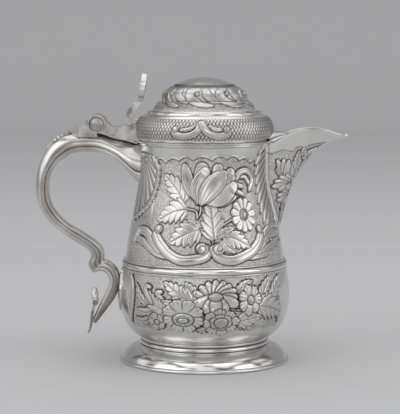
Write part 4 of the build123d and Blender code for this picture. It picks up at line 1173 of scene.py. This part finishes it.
def side_line(parts, edge):
    """A smooth side line through the outer (0) or inner (1) edge of tables with their origins."""
    points = [np.stack([-(origin[0] + rows[:, 2 * edge]), origin[1] + rows[:, 2 * edge + 1]], axis=1)
              for rows, origin in parts]
    return smooth_path(np.vstack(points), per_span=12)


def there_and_back(half_way):
    """The values round a half section, then the same ones back along its mirror image."""
    return np.concatenate([half_way, half_way[-2:0:-1]])


def add_bow(name, parts, widths, seam, paint, nodes):
    """Carries a rounded section along two side lines. The seam is a share of the depth, and paint
    gives the darkness from the share of the length and the place round the half section."""
    outer, inner = side_line(parts, 0), side_line(parts, 1)
    share = np.linspace(0, 1, len(outer))[:, None]
    half = np.interp(share, np.linspace(0, 1, len(widths)), widths) / 2
    t = np.linspace(0, 1, SECTION_STEPS)
    back = bezier([(1, 0), (1, 0.66), (seam + 0.62 * (1 - seam), 1), (seam, 1)], t)
    face = bezier([(seam, 1), (0.2 * seam, 1), (0, 0.92), (0, 0)], t)
    depth, width = np.vstack([back, face[1:]]).T
    place = np.linspace(-1, 1, len(depth))
    width = width * (1 - SEAM_SINK * bell(place, SEAM_HALF))
    depth, place = there_and_back(depth), there_and_back(place)
    width = np.concatenate([width, -width[-2:0:-1]])
    side = inner[:, None, :] + depth[:, None] * (outer - inner)[:, None, :]
    points = np.stack([side[..., 0], width * half, side[..., 1]], axis=-1)
    reach = np.hypot(points[..., 0], points[..., 1])
    wall = np.interp(points[..., 2], neck_profile[:, 1], neck_profile[:, 0], left=0) - SINK_INTO_NECK
    points[..., :2] *= np.maximum(1, wall / reach)[..., None]
    rows, columns = reach.shape
    first = np.arange(columns)
    caps = [np.stack([0 * first + rows * columns + end, edge, np.roll(edge, -1)], axis=1)
            for end, edge in enumerate((first, first + (rows - 1) * columns))]
    dark = np.append(np.clip(paint(share, place), 0, 1), [0, 0])
    points = np.vstack([points.reshape(-1, 3), points[[0, -1]].mean(axis=1)])
    add_piece(name, points, [grid_faces(rows, columns, wrap=True)], caps, "tankard", nodes,
              handle_silver, tarnish_and_shade_only(dark))


def bow_paint(share, place):
    """A line along the seam, a finer one beside it, and brown under the bend of the handle."""
    lines = np.maximum(bell(place, 0.035), 0.5 * bell(place, 0.03, -0.24))
    brown = 0.34 * bell(place, 0.28, 0.1) * smooth_step(0.12, 0.3, share)
    return lines + brown + 0.4 * smooth_step(0.72, 0.95, share) * bell(place, 0.4, -0.35)


def scroll_paint(share, place):
    """A dark brown flank behind a bright rim."""
    back = smooth_step(0.0, -0.12, place) * smooth_step(-1.0, -0.8, place)
    return np.maximum(bell(place, 0.05), back * (0.34 + 0.4 * share)) + 0.4 * bell(place, 0.04, 0.35)


add_bow("handle_bow", [(upper_bow, MOUTH), (lower_bow, FOOT)], [19.0, 13.4, 10.6], 0.3, bow_paint,
        ["handle_back", "handle_inner_strip"])
add_bow("handle_scroll", [(lower_scroll, FOOT)], [10.4, 6.6], 0.4, scroll_paint,
        ["handle_lower_scroll"])

# %% [markdown]
# ## Rings round the rivets
# A small raised ring stands round each head of the hinge pin, and one on each end of the rolled
# scroll. They could be built-in torus shapes, but as a grid they can carry painted shade on their
# inner side, a painted shadow for the gap round each head.


# %% Small upright rings
HOOP_STEPS, TUBE_STEPS = 72, 16


def add_shaded_hoop(name, centre, radius, thick):
    """A small round-section ring that stands upright, with painted shade on the side towards its middle."""
    turn, tube = full_turn(HOOP_STEPS)[:, None], full_turn(TUBE_STEPS)[None, :]
    out = radius + thick * np.cos(tube)
    points = np.stack([centre[0] + out * np.cos(turn), centre[1] + thick * np.sin(tube) + 0 * turn,
                       centre[2] + out * np.sin(turn)], axis=-1)
    # Painted shade: the half of the tube that faces the middle is darkened.
    dark = np.tile(smooth_step(0.3, -0.3, np.cos(tube[0])), HOOP_STEPS)
    faces = grid_faces(HOOP_STEPS, TUBE_STEPS, wrap=True, loop=True)
    add_piece(name, points, [faces], [], "tankard", [], handle_silver, tarnish_and_shade_only(dark))


for label, side in (("near", -1), ("far", 1)):
    add_shaded_hoop(f"rivet_ring_{label}", (-75.3, side * 12.6, 167.9), 5.3, 0.6)
    add_shaded_hoop(f"volute_ring_{label}", (-77.2, side * 5.9, 41.3), 1.75, 0.6)

# %% [markdown]
# ## The room
# Polished silver shows its room, so the room is as much part of the finish as the metal: a pale
# floor that runs up into a backdrop, a large soft lamp on each side, one above, a weak one in front
# for the shadows, and a darker world between them that gives the metal its grey lines. A ready-made
# panorama would do the same, but here each lamp can be moved by one number. The lamps themselves are
# hidden from the camera, so that no white square shows in a view from another side.

# %% Floor and backdrop
PAPER = (0.6, 0.6, 0.61)
FLOOR_HALF = 20000
BEND_START, BEND_RADIUS, BACKDROP_TOP = 2800, 900, 3500


def backdrop():
    """A floor that bends up behind the pot: a strip of squares along a quarter-circle profile."""
    bend = np.radians(np.linspace(0, 90, 24))
    run = [[-FLOOR_HALF], BEND_START + BEND_RADIUS * np.sin(bend), [BEND_START + BEND_RADIUS]]
    rise = [[0], BEND_RADIUS - BEND_RADIUS * np.cos(bend), [BACKDROP_TOP]]
    run, rise = np.concatenate(run), np.concatenate(rise)
    across = np.array([-FLOOR_HALF, FLOOR_HALF])
    points = np.stack(np.broadcast_arrays(across[None, :], run[:, None], rise[:, None]), axis=-1)
    mesh = bpy.data.meshes.new("backdrop")
    mesh.from_pydata((points.reshape(-1, 3) * MM).tolist(), [], grid_faces(len(run), 2).tolist())
    mesh.materials.append(Finish(bpy.data.materials.new("backdrop_paper")).set(
        Base_Color=(*PAPER, 1), Roughness=0.75))
    mesh.polygons.foreach_set("use_smooth", np.ones(len(mesh.polygons), dtype=bool))
    put_in_scene("backdrop", mesh)


backdrop()


# %% Lamps
def lamp(name, place, target, size, watts):
    """A square soft lamp that faces its target."""
    light = bpy.data.lights.new(name, "AREA")
    light.shape = "RECTANGLE"
    light.size, light.size_y = size
    light.energy = watts
    obj = put_in_scene(name, light)
    obj.location = place
    obj.visible_camera = False
    obj.rotation_euler = (Vector(target) - Vector(place)).to_track_quat("-Z", "Y").to_euler()


MIDDLE = (0, 0, 0.1)
lamp("left_window", (-1.3, -0.9, 0.8), MIDDLE, (1.3, 1.6), 4.2)
lamp("right_window", (1.4, -0.6, 0.7), MIDDLE, (0.9, 1.4), 3.2)
lamp("ceiling", (0.0, 0.1, 1.7), MIDDLE, (1.6, 1.6), 6.4)
lamp("front_card", (0.0, -1.7, 0.42), (0, 0, 0.08), (0.9, 0.6), 1.2)


# %% The world behind the lamps
def room_light():
    """A pale room, brighter above, with dark furniture here and there for the silver to show."""
    world = bpy.data.worlds.new("room")
    bpy.context.scene.world = world
    room = Finish(world, "Background")
    way = room.node("ShaderNodeTexCoord")
    up = room.node("ShaderNodeSeparateXYZ", sockets={0: way}, out=2)
    walls = room.steps(up, (0.0, 0.55), (0.75, 1.0))
    furniture = room.steps(room.noise(way, 2.6, 1.5, rough=0.5), (0.40, 0.12), (0.52, 1.0))
    room.set(Color=walls * furniture, Strength=0.98)


room_light()

# %% [markdown]
# ## The camera
# The camera stands where the photograph's did, worked out from the ovals of the foot, the girdle and
# the lid: a little above the pot and tilted down. Its focal length was found in pixels of the frame.

# %% Camera
SENSOR_HEIGHT = 36
FOCAL_PIXELS, FRAME_PIXELS = 1655, 414
TILT_DOWN = 5.86

camera_data = bpy.data.cameras.new("camera")
camera_data.sensor_fit = "VERTICAL"
camera_data.sensor_width = SENSOR_HEIGHT
camera_data.sensor_height = SENSOR_HEIGHT
camera_data.lens = SENSOR_HEIGHT * FOCAL_PIXELS / FRAME_PIXELS
camera_data.clip_end = 20
camera = put_in_scene("camera", camera_data)
camera.location = (-0.0031, -1.165, 0.228)
camera.rotation_euler = (np.radians(90 - TILT_DOWN), 0, 0)
bpy.context.scene.camera = camera
bpy.context.scene.view_settings.view_transform = "Standard"
print("camera lens in millimetres:", round(camera_data.lens, 1))
